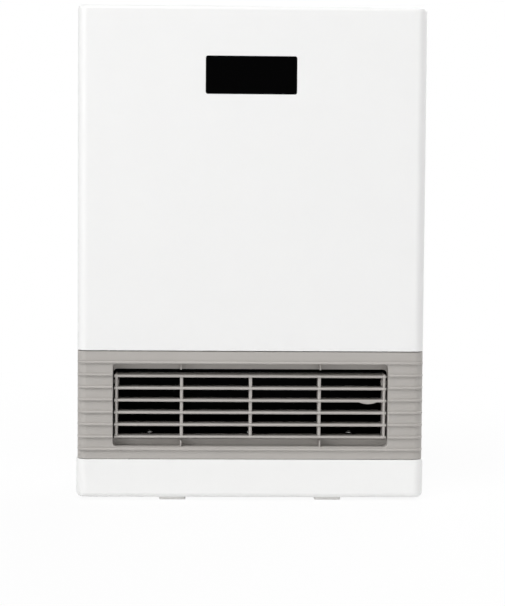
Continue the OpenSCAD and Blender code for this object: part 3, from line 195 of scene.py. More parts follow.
def outline(points):
    """Closed loop as points with the direction in which each one moves when the loop grows."""
    longest_mitre = 2
    nexts = points[1:] + points[:1]
    if sum(a[0] * b[1] - b[0] * a[1] for a, b in zip(points, nexts)) < 0:
        points = points[::-1]
        nexts = points[1:] + points[:1]
    normals = []
    for a, b in zip(points, nexts):
        length = math.dist(a, b)
        normals.append(((b[1] - a[1]) / length, (a[0] - b[0]) / length))
    loop = []
    for point, n, m in zip(points, normals[-1:] + normals[:-1], normals):
        share = max(1 + n[0] * m[0] + n[1] * m[1], 1 / longest_mitre)
        loop.append((point, ((n[0] + m[0]) / share, (n[1] + m[1]) / share)))
    return loop


def grown(loop, distance):
    """Points of a loop that has grown outward on all sides."""
    return [(p[0] + n[0] * distance, p[1] + n[1] * distance) for p, n in loop]


def upright(u, v, w):
    """An outline in x and z, with its depth along y."""
    return (u, w, v)


def level(u, v, w):
    """An outline in x and y, with its height along z."""
    return (u, v, w)


def sideways(u, v, w):
    """An outline in y and z, with its width along x."""
    return (w, u, v)


def rim(w, edge, way=1, steps=EDGE_STEPS):
    """Inset and depth along a round rim, from the face at w to the side, inward by way."""
    return [(edge * (1 - math.sin(a)), w + way * edge * (1 - math.cos(a)))
            for a in quarter(steps)]


def rims(w0, w1, edge0, edge1):
    """Inset and depth of the rings of a plate whose two rims are round."""
    return rim(w0, edge0) + rim(w1, edge1, -1)[::-1]


def fold(z):
    """Offsets and heights of the round upper edge of a case part that ends at z."""
    return [(-FOLD_R + FOLD_R * math.cos(a), z - FOLD_R + FOLD_R * math.sin(a))
            for a in quarter(BEND_STEPS)]


class Shape:
    """Points and faces of one piece, in mm."""

    def __init__(self):
        self.points = []
        self.faces = []

    def ring(self, points):
        """Adds points and returns their numbers."""
        first = len(self.points)
        self.points.extend(points)
        return list(range(first, len(self.points)))

    def bridge(self, rings):
        """Faces between each ring and the next."""
        for a, b in zip(rings, rings[1:]):
            for i in range(len(a)):
                j = (i + 1) % len(a)
                self.faces.append((a[i], a[j], b[j], b[i]))

    def cap(self, ring):
        self.faces.append(tuple(ring))

    def fill(self, outer, holes):
        """Flat face with holes in it."""
        flat = [i for loop in [outer, *holes] for i in loop]
        corners = [[Vector(self.points[i]) for i in loop] for loop in [outer, *holes]]
        for triangle in tessellate_polygon(corners):
            self.faces.append(tuple(flat[i] for i in triangle))

    def level_ring(self, at, loop, grow, w):
        """Ring of a loop at one depth, with the loop grown or shrunk."""
        return self.ring([at(u, v, w) for u, v in grown(loop, grow)])

    def slab(self, at, loop, w0, w1, edge0=0.3, edge1=None, holes=()):
        """Plate with round rims and any holes."""
        steps = rims(w0, w1, edge0, edge0 if edge1 is None else edge1)
        outer = [self.level_ring(at, loop, -inset, w) for inset, w in steps]
        inner = [[self.level_ring(at, hole, inset, w) for inset, w in steps] for hole in holes]
        for rings in [outer, *inner]:
            self.bridge(rings)
        self.fill(outer[0], [rings[0] for rings in inner])
        self.fill(outer[-1], [rings[-1] for rings in inner])

    def sweep(self, path, profile, skip):
        """Grid of points along a plan path, with the profile's offsets and heights.

        What stands out of the skin is moved to the front only, as a mould draws it.
        """
        grid = []
        for off, z in profile:
            sunk, proud = min(off, 0), max(off, 0)
            grid.append(self.ring([(x + nx * sunk, y + ny * sunk - proud * drawn, z)
                                   for x, y, nx, ny, drawn in path]))
        for k in range(len(profile) - 1):
            for i in range(len(path) - 1):
                if not skip(i, k):
                    low, high = grid[k], grid[k + 1]
                    self.faces.append((low[i], low[i + 1], high[i + 1], high[i]))
        return grid

    def cup(self, at, loop, face, inward, depth, edge, floor_r):
        """Sunk recess: returns the ring at its mouth and the ring of its floor."""
        steps = rim(0, edge)
        steps += [(-floor_r * (1 - math.cos(a)), depth - floor_r * (1 - math.sin(a)))
                  for a in quarter(EDGE_STEPS)]
        rings = [self.level_ring(at, loop, grow, face + inward * w) for grow, w in steps]
        self.bridge(rings)
        return rings[0], rings[-1]

    def lathe(self, at, u, v, profile, steps=32):
        """Turned body round (u, v): radii and heights from one end to the other."""
        rings = [self.ring([at(a, b, w) for a, b in disc(u, v, r, steps)]) for r, w in profile]
        self.bridge(rings)
        self.cap(rings[0])
        self.cap(rings[-1])


def u_path(half, seam, face, r, stops=()):
    """Plan of a shell that is open at the seam, right side first.

    Each place has its outward normal and 1, or 0 at the seam, where ribs end.
    """
    way = 1 if face > seam else -1
    corner = [(half - r + r * math.cos(a), face - way * r + way * r * math.sin(a),
               math.cos(a), way * math.sin(a), 1) for a in quarter(CORNER_STEPS)]
    middle = [(x, face, 0, way, 1) for x in sorted(stops, reverse=True)]
    left = [(-x, y, -nx, ny, 1) for x, y, nx, ny, _ in reversed(corner)]
    return [(half, seam, 1, 0, 0)] + corner + middle + left + [(-half, seam, -1, 0, 0)]


# Materials

def node(tree, kind, **values):
    """New shader node, with values for its sockets or its settings."""
    made = tree.nodes.new("ShaderNode" + kind)
    for key, value in values.items():
        if key in made.inputs:
            made.inputs[key].default_value = value
        else:
            setattr(made, key, value)
    return made


def noise(tree, place, scale, detail):
    made = node(tree, "TexNoise", Scale=scale, Detail=detail, Roughness=0.55)
    tree.links.new(place, made.inputs["Vector"])
    return made.outputs["Fac"]


def spread(tree, value, low, high):
    """Takes a noise, which mostly lies near its middle, between two limits."""
    noise_low, noise_high = 0.3, 0.7
    made = node(tree, "MapRange")
    made.inputs["From Min"].default_value = noise_low
    made.inputs["From Max"].default_value = noise_high
    made.inputs["To Min"].default_value = low
    made.inputs["To Max"].default_value = high
    tree.links.new(value, made.inputs["Value"])
    return made.outputs["Result"]


def two_tone(tree, value, first, second):
    made = node(tree, "Mix", data_type="RGBA")
    made.inputs["A"].default_value = (*first, 1)
    made.inputs["B"].default_value = (*second, 1)
    tree.links.new(value, made.inputs["Factor"])
    return made.outputs["Result"]


def new_material(name):
    made = bpy.data.materials.new(name)
    made.use_nodes = True
    tree = made.node_tree
    return made, tree, tree.nodes["Principled BSDF"]


def object_place(tree, stretch=(1, 1, 1)):
    place = node(tree, "TexCoord")
    if stretch == (1, 1, 1):
        return place.outputs["Object"]
    turned = node(tree, "Mapping")
    turned.inputs["Scale"].default_value = stretch
    tree.links.new(place.outputs["Object"], turned.inputs["Vector"])
    return turned.outputs["Vector"]


def finish_of(name, colour, rough, shift, rough_shift, grain, height, stretch=(1, 1, 1), metal=0,
              specular=0.5, broad=14):
    """Coloured surface whose tone, gloss and height vary in small amounts.

    The tone strays by shift of itself and the roughness by rough_shift. The fine grain, with a
    relief of height mm, and the broad patches are noise scales for a metre.
    """
    gloss_share = 9
    made, tree, shader = new_material(name)
    place = object_place(tree, stretch)
    fine = noise(tree, place, grain, detail=3)
    wide = noise(tree, place, broad, detail=4)
    dark = [c * (1 - shift) for c in colour]
    light = [c * (1 + shift) for c in colour]
    tone = two_tone(tree, spread(tree, wide, 0, 1), dark, light)
    tree.links.new(tone, shader.inputs["Base Color"])
    patches = noise(tree, place, grain / gloss_share, detail=4)
    gloss = spread(tree, patches, rough - rough_shift, rough + rough_shift)
    tree.links.new(gloss, shader.inputs["Roughness"])
    bump = node(tree, "Bump", Strength=1, Distance=height * MM)
    tree.links.new(fine, bump.inputs["Height"])
    tree.links.new(bump.outputs["Normal"], shader.inputs["Normal"])
    shader.inputs["Metallic"].default_value = metal
    shader.inputs["Specular IOR Level"].default_value = specular
    return made


def panel_paint():
    """Satin white paint on the front sheet."""
    return finish_of("panel_paint", (0.885, 0.885, 0.88), rough=0.4, shift=0.004,
                     rough_shift=0.04, grain=900, height=0.008)


def white_plastic():
    return finish_of("white_plastic", (0.91, 0.91, 0.903), rough=0.46, shift=0.006,
                     rough_shift=0.05, grain=1500, height=0.012)


def grey_plastic():
    """Warm grey of the band, the louvre, the filter frame and the small buttons."""
    return finish_of("grey_plastic", (0.437, 0.416, 0.394), rough=0.5, shift=0.025,
                     rough_shift=0.06, grain=1500, height=0.014)


def window_black():
    """Nearly black sheet over the display, which is off."""
    return finish_of("window_black", (0.0008, 0.0008, 0.0009), rough=0.1, shift=0.1,
                     rough_shift=0.03, grain=300, height=0.001, specular=0.01)


def fascia_black():
    return finish_of("fascia_black", (0.016, 0.016, 0.018), rough=0.3, shift=0.1,
                     rough_shift=0.05, grain=700, height=0.004)


def black_plastic():
    return finish_of("black_plastic", (0.02, 0.02, 0.02), rough=0.55, shift=0.1,
                     rough_shift=0.06, grain=1300, height=0.015)


def natural_plastic():
    return finish_of("natural_plastic", (0.78, 0.77, 0.73), rough=0.45, shift=0.02,
                     rough_shift=0.05, grain=1200, height=0.012)


def rubber_black():
    return finish_of("rubber_black", (0.028, 0.027, 0.026), rough=0.8, shift=0.12,
                     rough_shift=0.08, grain=1600, height=0.04)


def rubber_pale():
    """Pale rubber of the feet."""
    return finish_of("rubber_pale", (0.8, 0.79, 0.77), rough=0.7, shift=0.03,
                     rough_shift=0.08, grain=1600, height=0.03)


def steel_sheet():
    """Rolled sheet, with its noise drawn out along z."""
    return finish_of("steel_sheet", (0.56, 0.56, 0.57), rough=0.36, shift=0.08,
                     rough_shift=0.08, grain=500, height=0.004, stretch=(1, 1, 0.04), metal=1,
                     broad=60)


def steel_bar():
    return finish_of("steel_bar", (0.76, 0.76, 0.75), rough=0.33, shift=0.05,
                     rough_shift=0.06, grain=1500, height=0.003, metal=1)


def aluminium():
    """Drawn metal, with its noise drawn out along x."""
    return finish_of("aluminium", (0.72, 0.73, 0.74), rough=0.32, shift=0.05,
                     rough_shift=0.07, grain=700, height=0.003, stretch=(0.05, 1, 1), metal=1)


def stone():
    """Ceramic of the heating stones."""
    return finish_of("stone", (0.3, 0.29, 0.27), rough=0.75, shift=0.15,
                     rough_shift=0.08, grain=900, height=0.05)


def brass():
    return finish_of("brass", (0.72, 0.55, 0.26), rough=0.3, shift=0.06,
                     rough_shift=0.06, grain=900, height=0.003, metal=1)


def motor_paint():
    return finish_of("motor_paint", (0.05, 0.05, 0.055), rough=0.38, shift=0.1,
                     rough_shift=0.06, grain=700, height=0.02)


def board():
    """Green lacquer with copper tracks under it, at density cells for a metre."""
    density, track_w, track_h = 260, 0.09, 0.05
    bare, covered = (0.05, 0.24, 0.09), (0.025, 0.13, 0.055)
    made, tree, shader = new_material("circuit_board")
    place = object_place(tree)
    cells = node(tree, "TexVoronoi", Scale=density, feature="DISTANCE_TO_EDGE",
                 distance="MANHATTAN")
    tree.links.new(place, cells.inputs["Vector"])
    edge = node(tree, "MapRange")
    edge.inputs["From Max"].default_value = track_w
    tree.links.new(cells.outputs["Distance"], edge.inputs["Value"])
    tone = two_tone(tree, edge.outputs["Result"], bare, covered)
    tree.links.new(tone, shader.inputs["Base Color"])
    bump = node(tree, "Bump", Strength=0.6, Distance=track_h * MM)
    tree.links.new(edge.outputs["Result"], bump.inputs["Height"])
    tree.links.new(bump.outputs["Normal"], shader.inputs["Normal"])
    gloss = spread(tree, noise(tree, place, scale=300, detail=3), low=0.3, high=0.42)
    tree.links.new(gloss, shader.inputs["Roughness"])
    return made


def relay_blue():
    return finish_of("relay_blue", (0.04, 0.09, 0.32), rough=0.3, shift=0.05,
                     rough_shift=0.05, grain=900, height=0.006)


def wire():
    """Pale insulation of the leads."""
    return finish_of("wire", (0.6, 0.58, 0.54), rough=0.6, shift=0.06,
                     rough_shift=0.06, grain=2200, height=0.05)


def duct_black_and_painted_shade():
    """Black of the duct behind the louvre, made far darker than its dull black paint as painted
    shade for the deep inside, where hardly any light comes back.
    """
    return finish_of("duct_black_and_painted_shade", (0.0016, 0.0014, 0.0014), rough=0.6, shift=0.15,
                     rough_shift=0.08, grain=1300, height=0.02, specular=0.05)


# The material of each slot in the record, by the slot's name
SLOTS = (panel_paint, white_plastic, grey_plastic, window_black, fascia_black, black_plastic,
         natural_plastic, rubber_black, rubber_pale, steel_sheet, steel_bar, aluminium, stone,
         brass, motor_paint, board, relay_blue, wire)
finishes = {make.__name__: make() for make in SLOTS}


# Pieces

# CAD nodes that a piece of this script stands for
covered = set()


def smooth(obj, edge, weld=False):
    """Welds a CAD mesh, rounds sharp edges, and keeps flat faces flat in shading."""
    if weld:
        joined = obj.modifiers.new("weld", "WELD")
        joined.merge_threshold = WELD * MM
    if edge:
        bevel = obj.modifiers.new("edges", "BEVEL")
        bevel.limit_method = "ANGLE"
        bevel.angle_limit = math.radians(SHARP)
        bevel.width = edge * MM
        bevel.segments = 2
    normals = obj.modifiers.new("normals", "WEIGHTED_NORMAL")
    normals.keep_sharp = True


def clean_mesh(name, shape):
    """Mesh of a shape, with its double points joined and its faces turned outward."""
    mesh = bpy.data.meshes.new(name)
    mesh.from_pydata([[v * MM for v in p] for p in shape.points], [], shape.faces)
    bm = bmesh.new()
    bm.from_mesh(mesh)
    bmesh.ops.remove_doubles(bm, verts=bm.verts, dist=WELD * MM)
    bmesh.ops.dissolve_degenerate(bm, dist=WELD * MM, edges=bm.edges)
    bmesh.ops.recalc_face_normals(bm, faces=bm.faces)
    middle = sum((v.co for v in bm.verts), Vector()) / len(bm.verts)
    out = sum(f.calc_area() * f.normal.dot(f.calc_center_median() - middle) for f in bm.faces)
    if out < 0:
        bmesh.ops.reverse_faces(bm, faces=bm.faces)
    bm.to_mesh(mesh)
    bm.free()
    for face in mesh.polygons:
        face.use_smooth = True
    mesh.set_sharp_from_angle(angle=math.radians(SHARP))
    return mesh


def piece(name, shape, body, slot, replaced, wall=0, edge=0):
    """Makes the object of a shape, and puts it on its body in place of its CAD nodes.

    A shape that is only a skin gets a wall on its inner side.
    """
    mesh = clean_mesh(name, shape)
    mesh.materials.append(finishes[slot])
    obj = bpy.data.objects.new(name, mesh)
    bpy.context.scene.collection.objects.link(obj)
    if wall:
        solid = obj.modifiers.new("wall", "SOLIDIFY")
        solid.thickness = wall * MM
        solid.offset = -1
        solid.use_even_offset = True
    smooth(obj, edge)
    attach(obj, body)
    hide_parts(*replaced)
    covered.update(replaced)


def window_outline():
    return outline(rounded(WINDOW_X0, WINDOW_X1, WINDOW_Z0, WINDOW_Z1, WINDOW_R))


def front_panel():
    """White sheet round the front and both sides, folded over at the top."""
    shape = Shape()
    path = u_path(HALF_W, SEAM_Y, FRONT_Y, CASE_R)
    flat = len(path) // 2 - 1
    profile = [(0, PANEL_Z0)] + fold(TOP_Z)
    grid = shape.sweep(path, profile, lambda i, k: i == flat and k == 0)
    hole = shape.level_ring(upright, window_outline(), WINDOW_FIT, FRONT_Y)
    shape.fill([grid[0][flat], grid[0][flat + 1], grid[1][flat + 1], grid[1][flat]], [hole])
    shape.cap(grid[-1])
    piece("front_panel", shape, "housing", "panel_paint", ["front_panel"], SHEET_T, CASE_EDGE)


def display_window():
    """Dark plate in the hole of the front panel."""
    shape = Shape()
    shape.slab(upright, window_outline(), WINDOW_Y0, WINDOW_Y1)
    piece("display_window", shape, "housing", "window_black", ["display_window"])


def rib(z):
    """Section of one rib, as offsets and heights from its lower root to its upper root."""
    low, high = z - RIB_H / 2, z + RIB_H / 2
    r = RIB_EDGE
    under = [(RIB_D - r + r * math.sin(a), low + r - r * math.cos(a)) for a in quarter(RIB_STEPS)]
    over = [(RIB_D - r + r * math.cos(a), high - r + r * math.sin(a)) for a in quarter(RIB_STEPS)]
    return [(0, low)] + under + over + [(0, high)]


def band_profile():
    """Section of the band, with stops where the opening's edge starts and ends."""
    stops = [OPENING_Z0 - OPENING_EDGE, OPENING_Z0 + OPENING_R, OPENING_Z1 - OPENING_R]
    marks = [("stop", z) for z in stops]
    marks += [("rib", RIB_Z + i * RIB_PITCH) for i in range(RIB_COUNT)]
    profile = [(-BAND_BACK, BAND_Z0)] + [(-inset, z) for inset, z in rim(BAND_Z0, BAND_EDGE)]
    for kind, z in sorted(marks, key=lambda mark: mark[1]):
        profile += rib(z) if kind == "rib" else [(0, z)]
    profile += [(-inset, z) for inset, z in rim(BAND_Z1, BAND_EDGE, -1)[::-1]]
    return profile + [(-BAND_BACK, BAND_Z1)]


def opening_edge(profile):
    """Right half of the opening's edge, from bottom to top: x, z, nx, nz, edge radius, skin y.

    The edge dies away towards the top, where a rib lies along the opening.
    """
    u = OPENING_X - OPENING_R
    low, high = OPENING_Z0 + OPENING_R, OPENING_Z1 - OPENING_R
    points = []
    for a in quarter(BEND_STEPS):
        points.append((u + OPENING_R * math.sin(a), OPENING_Z0 + OPENING_R * (1 - math.cos(a)),
                       math.sin(a), -math.cos(a), OPENING_EDGE, FLAT_Y))
    points += [(OPENING_X, z, 1, 0, OPENING_EDGE, FLAT_Y - off)
               for off, z in profile if low < z < high]
    for a in quarter(BEND_STEPS):
        points.append((u + OPENING_R * math.cos(a), high + OPENING_R * math.sin(a),
                       math.cos(a), math.sin(a), OPENING_EDGE * math.cos(a), FLAT_Y))
    return points


def outlet_surround():
    """Grey band with its ribs, the walls of the recess, the flange and its gussets."""
    shape = Shape()
    profile = band_profile()
    edge_x = OPENING_X + OPENING_EDGE
    arc_x = OPENING_X - OPENING_R
    path = u_path(BAND_X, SEAM_Y, FLAT_Y, CASE_R, [edge_x, arc_x, -arc_x, -edge_x])
    low, high = OPENING_Z0 - OPENING_EDGE, OPENING_Z1

    def in_opening(i, k):
        """True for a cell of the band's grid that the opening takes."""
        across = abs(path[i][0] + path[i + 1][0]) / 2 < edge_x
        within = low - WELD < profile[k][1] and profile[k + 1][1] < high + WELD
        return across and within and path[i][3] == -1

    shape.sweep(path, profile, in_opening)
    right = opening_edge(profile)
    loop = right + [(-x, z, -nx, nz, e, y) for x, z, nx, nz, e, y in reversed(right)]
    rings = [shape.ring([(x + nx * e * (1 - math.sin(a)), y + e * (1 - math.cos(a)),
                          z + nz * e * (1 - math.sin(a))) for x, z, nx, nz, e, y in loop])
             for a in quarter(RIB_STEPS)]
    rings.append(shape.ring([(x, FLANGE_Y1, z) for x, z, *_ in loop]))
    shape.bridge(rings)
    bend = BEND_STEPS + 1
    for side in (1, -1):
        mouth = rings[0] if side > 0 else rings[0][::-1]
        for z, round_corner in ((low, mouth[:bend]), (high, mouth[len(right) - bend:len(right)])):
            corner = shape.ring([(side * edge_x, FLAT_Y, z)])
            shape.cap(corner + round_corner)
    recess_flange(shape)
    piece("outlet_surround", shape, "housing", "grey_plastic", ["outlet_surround"])


def recess_flange(shape):
    """Two strips behind the louvre, above and below the duct's mouth, with their gussets."""
    r = OPENING_R
    x = OPENING_X
    over = [(-x, OPENING_Z1), (-x, MOUTH_Z1 - r)]
    over += arc(r - x, MOUTH_Z1 - r, r, 2 * QUARTER, QUARTER, BEND_STEPS)[1:]
    over += arc(x - r, MOUTH_Z1 - r, r, QUARTER, 0, BEND_STEPS)
    over.append((x, OPENING_Z1))
    under = [(-x, MOUTH_Z0)]
    under += arc(r - x, OPENING_Z0 + r, r, 2 * QUARTER, 3 * QUARTER, BEND_STEPS)
    under += arc(x - r, OPENING_Z0 + r, r, 3 * QUARTER, 4 * QUARTER, BEND_STEPS)
    under.append((x, MOUTH_Z0))
    for points in (over, under):
        shape.slab(upright, outline(points), FLANGE_Y0, FLANGE_Y1, FLANGE_EDGE)
    front, back = FLAT_Y + GUSSET_DROP, FLANGE_Y0 + GUSSET_LAP
    for side in (-GUSSET_X, GUSSET_X):
        for low, high in ((MOUTH_Z1 + GUSSET_GAP, OPENING_Z1), (OPENING_Z0, MOUTH_Z0 - GUSSET_GAP)):
            sheet = outline(rounded(front, back, low, high, GUSSET_R, steps=2))
            shape.slab(sideways, sheet, side - GUSSET_T / 2, side + GUSSET_T / 2, FLANGE_EDGE)


def slat_section(z):
    """One slat seen from the side: round nose, thinner back."""
    nose, r = SLAT_H / 2, SLAT_BACK_R
    low = z + nose - SLAT_BACK_H
    points = arc(VANE_Y0 + nose, z, nose, QUARTER, 3 * QUARTER, steps=10)
    points += arc(VANE_Y1 - r, low + r, r, 3 * QUARTER, 4 * QUARTER, EDGE_STEPS)
    return points + arc(VANE_Y1 - r, z + nose - r, r, 0, QUARTER, EDGE_STEPS)


def louvre():
    """Slats that run a little past their end plates, with braces, pins and a finger tab."""
    shape = Shape()
    for i in range(SLAT_COUNT):
        section = outline(slat_section(VANE_Z0 + SLAT_H / 2 + i * SLAT_PITCH))
        shape.slab(sideways, section, -VANE_X - SLAT_PAST, VANE_X + SLAT_PAST, SLAT_EDGE)
    head_wedge(shape)
    for side in (1, -1):
        end_plate(shape, side)
    brace = outline(rounded(VANE_Y0 + BRACE_BACK, VANE_Y1 - BRACE_BACK, VANE_Z0 + SLAT_H / 2,
                            HEAD_Z - SLAT_H / 2, BRACE_R, EDGE_STEPS))
    for i in (-1, 0, 1):
        x = i * BRACE_PITCH
        shape.slab(sideways, brace, x - BRACE_T / 2, x + BRACE_T / 2, BRACE_EDGE)
    finger_tab(shape)
    piece("louvre", shape, "louvre", "grey_plastic", ["louvre"])


def head_wedge(shape):
    """Slope that rises from the top slat to the back."""
    front, back = VANE_Y0 + SLAT_H / 2, VANE_Y1 - END_R
    low = HEAD_Z - HEAD_T
    wedge = [(front, low), (back, low), (back, VANE_Z1), (front, HEAD_Z)]
    half = VANE_X - END_T / 2
    shape.slab(sideways, outline(wedge), -half, half, 0)


def end_plate(shape, side):
    """Plate at one end of the louvre, with its hub inside and its pin outside."""
    middle, inner = VANE_X - END_T / 2, VANE_X - END_T
    near, far = sorted((side * inner, side * VANE_X))
    plate = outline(rounded(VANE_Y0, VANE_Y1, VANE_Z0, VANE_Z1, END_R))
    shape.slab(sideways, plate, near, far, END_EDGE)
    hub_x = inner - HUB_T
    hub = [(HUB_R, middle), (HUB_R, hub_x + HUB_EDGE), (HUB_R - HUB_EDGE, hub_x)]
    pin = [(PIN_R, middle), (PIN_R, PIN_X - HUB_EDGE), (PIN_R - HUB_EDGE, PIN_X)]
    for profile in (hub, pin):
        shape.lathe(sideways, PIVOT_Y, PIVOT_Z, [(r, side * x) for r, x in profile])


def finger_tab(shape):
    """Shallow tongue that hangs under one slat."""
    foot = VANE_Z0 + TAB_SLAT * SLAT_PITCH
    bow = (TAB_W ** 2 / 4 + TAB_H ** 2) / (2 * TAB_H)
    half = math.asin(TAB_W / 2 / bow)
    points = arc(TAB_X, foot - TAB_H + bow, bow, 3 * QUARTER - half, 3 * QUARTER + half,
                 steps=12)
    points += [(TAB_X + TAB_W / 2, foot + SLAT_H / 2), (TAB_X - TAB_W / 2, foot + SLAT_H / 2)]
    front = VANE_Y0 + TAB_BACK
    shape.slab(upright, outline(points), front, front + TAB_T, TAB_EDGE)


def base_tray():
    """White tray with a round lower edge and a hole for the plunger of the tip switch."""
    shape = Shape()
    plan = outline(rounded(-BASE_X, BASE_X, -BASE_Y, BASE_Y, BASE_R, CORNER_STEPS))
    floor = BASE_Z0 + BASE_T
    steps = rim(BASE_Z0, BASE_LOW_R, steps=BEND_STEPS) + rim(BASE_Z1, BASE_EDGE, -1)[::-1]
    steps += [(BASE_T, BASE_Z1), (BASE_T, floor)]
    rings = [shape.level_ring(level, plan, -inset, z) for inset, z in steps]
    shape.bridge(rings)
    hole = outline(disc(PLUNGER_X, PLUNGER_Y, PLUNGER_HOLE_R))
    holes = [shape.level_ring(level, hole, 0, z) for z in (BASE_Z0, floor)]
    shape.bridge(holes)
    shape.fill(rings[0], [holes[0]])
    shape.fill(rings[-1], [holes[1]])
    piece("base_tray", shape, "housing", "white_plastic", ["base_tray"])


def base_feet():
    """Four pale pads with a groove along the sole, each on its stem."""
    shape = Shape()
    high = span("base_feet")[5]
    for x in (-FOOT_X, FOOT_X):
        for y in (-FOOT_Y, FOOT_Y):
            pad = outline(centred(x, y, FOOT_W, FOOT_D, FOOT_R))
            groove = outline(centred(x, y, FOOT_W - 2 * GROOVE_IN, GROOVE_W, GROOVE_R))
            sole = [shape.level_ring(level, pad, -inset, z)
                    for inset, z in rims(0, BASE_Z0, FOOT_EDGE, FOOT_TOP_EDGE)]
            shape.bridge(sole)
            shape.cap(sole[-1])
            sunk = [shape.level_ring(level, groove, 0, z) for z in (0, GROOVE_D)]
            shape.bridge(sunk)
            shape.cap(sunk[1])
            shape.fill(sole[0], [sunk[0]])
            shape.lathe(level, x, y, [(FOOT_PIN_R, BASE_Z0), (FOOT_PIN_R, high)], steps=24)
    piece("base_feet", shape, "housing", "rubber_pale", ["base_feet"])


def intake_holes():
    """Outlines of the slots behind the filter."""
    x0, x1, _, _, z0, z1 = FILTER
    step = (x1 - x0 - 2 * SLOT_MARGIN + SLOT_BAR) / SLOT_COLUMNS
    holes = []
    for row in range(SLOT_ROWS):
        z = (z0 + z1) / 2 + (row - (SLOT_ROWS - 1) / 2) * SLOT_PITCH
        for column in range(SLOT_COLUMNS):
            x = x0 + SLOT_MARGIN + column * step
            hole = rounded(x, x + step - SLOT_BAR, z - SLOT_H / 2, z + SLOT_H / 2, SLOT_R,
                           EDGE_STEPS)
            holes.append(outline(hole))
    return holes


def rear_cover():
    """White back with the filter's pocket, its slots, and a hand hold."""
    shape = Shape()
    path = u_path(HALF_W, SEAM_Y + SEAM, BACK_Y, CASE_R)
    flat = len(path) // 2 - 1
    grid = shape.sweep(path, [(0, CASE_Z0), (0, CAP_Z - SEAM)], lambda i, k: i == flat)
    x0, x1, _, _, z0, z1 = FILTER
    pocket = outline(rounded(x0 - FILTER_FIT, x1 + FILTER_FIT, z0 - FILTER_FIT, z1 + FILTER_FIT,
                             FILTER_R + FILTER_FIT))
    grip = outline(centred(0, GRIP_Z, GRIP_W, GRIP_H, GRIP_R))
    pocket_mouth, pocket_floor = shape.cup(upright, pocket, BACK_Y, -1, POCKET_D, POCKET_EDGE,
                                           POCKET_FLOOR_R)
    grip_mouth, grip_floor = shape.cup(upright, grip, BACK_Y, -1, GRIP_D, GRIP_EDGE,
                                       GRIP_FLOOR_R)
    corners = [grid[0][flat], grid[0][flat + 1], grid[1][flat + 1], grid[1][flat]]
    shape.fill(corners, [pocket_mouth, grip_mouth])
    slots = [shape.level_ring(upright, hole, 0, BACK_Y - POCKET_D) for hole in intake_holes()]
    shape.fill(pocket_floor, slots)
    shape.cap(grip_floor)
    piece("rear_cover", shape, "housing", "white_plastic", ["rear_cover"], COVER_T, CASE_EDGE)


def button_holes():
    """Outlines of the holes round the buttons."""
    return [outline(disc(x, BUTTON_Y, r + BUTTON_FIT, steps=40)) for x, r in BUTTONS.values()]


def top_cover():
    """White cap with a round rear edge and the sunk place of the controls."""
    shape = Shape()
    path = u_path(HALF_W, SEAM_Y + SEAM, BACK_Y, CASE_R)
    grid = shape.sweep(path, [(0, CAP_Z)] + fold(TOP_Z), lambda i, k: False)
    recess = outline(rounded(-RECESS_X, RECESS_X, RECESS_Y0, RECESS_Y1, RECESS_R))
    mouth, floor = shape.cup(level, recess, TOP_Z, -1, TOP_Z - RECESS_Z, RECESS_EDGE,
                             RECESS_FLOOR_R)
    shape.fill(grid[-1], [mouth])
    shape.fill(floor, [shape.level_ring(level, hole, 0, RECESS_Z) for hole in button_holes()])
    piece("top_cover", shape, "housing", "white_plastic", ["top_cover"], COVER_T, CASE_EDGE)


def control_fascia():
    """Dark plate with a round hole for each button."""
    x0, x1, y0, y1, z0, z1 = FASCIA
    shape = Shape()
    plate = outline(rounded(x0, x1, y0, y1, FASCIA_R))
    shape.slab(level, plate, z0, z1, FASCIA_LOW_EDGE, FASCIA_EDGE, button_holes())
    piece("control_fascia", shape, "housing", "fascia_black", ["control_fascia"])


def push_button(name, x, r, slot):
    """Round button with a dished top, on its flange and post."""
    body = name + "_button"
    x0, x1, _, _, z0, z1 = span(body)
    flange_r, low = (x1 - x0) / 2, z0 + POST_H
    high = low + BUTTON_FLANGE_H
    profile = [(POST_R, z0), (POST_R, low), (flange_r, low), (flange_r, high), (r, high)]
    profile += [(r - inset, z) for inset, z in rim(z1, BUTTON_EDGE, -1, RIB_STEPS)[::-1]]
    bowl = r - BUTTON_EDGE - DISH_IN
    profile += [(bowl * math.cos(a), z1 - DISH_D * math.sin(a)) for a in quarter(BEND_STEPS)][:-1]
    profile.append((POINT_R, z1 - DISH_D))
    shape = Shape()
    shape.lathe(level, x, BUTTON_Y, profile, steps=48)
    piece(body, shape, body, slot, [body])


def cell_spans(start, end, bars):
    """Starts and ends of the filter's cells between its border and its bars, one way."""
    edges = [start + FILTER_BORDER]
    for bar in bars:
        edges += [bar - FILTER_BAR / 2, bar + FILTER_BAR / 2]
    edges.append(end - FILTER_BORDER)
    return list(zip(edges[::2], edges[1::2]))


def filter_frame():
    """Grey frame with eight cells and a notch for a finger in its rear half."""
    x0, x1, y0, y1, z0, z1 = FILTER
    columns = cell_spans(x0, x1, (-x1 / 2, 0, x1 / 2))
    rows = cell_spans(z0, z1, ((z0 + z1) / 2,))
    cells = [outline(rounded(a, b, c, d, CELL_R, EDGE_STEPS)) for a, b in columns
             for c, d in rows]
    plain = rounded(x0, x1, z0, z1, FILTER_R)
    half = math.acos(NOTCH_UP / NOTCH_R)
    scoop = arc(0, z1 + NOTCH_UP, NOTCH_R, 3 * QUARTER + half, 3 * QUARTER - half, steps=12)
    right = len(plain) // 2
    notched = plain[:right] + scoop + plain[right:]
    joint = y1 - NOTCH_D
    shape = Shape()
    shape.slab(upright, outline(plain), y0, joint, FILTER_EDGE_IN, JOINT_EDGE, cells)
    shape.slab(upright, outline(notched), joint - JOINT_LAP, y1, JOINT_EDGE, FILTER_EDGE_OUT,
               cells)
    piece("filter_frame", shape, "filter", "grey_plastic", ["filter_frame"])


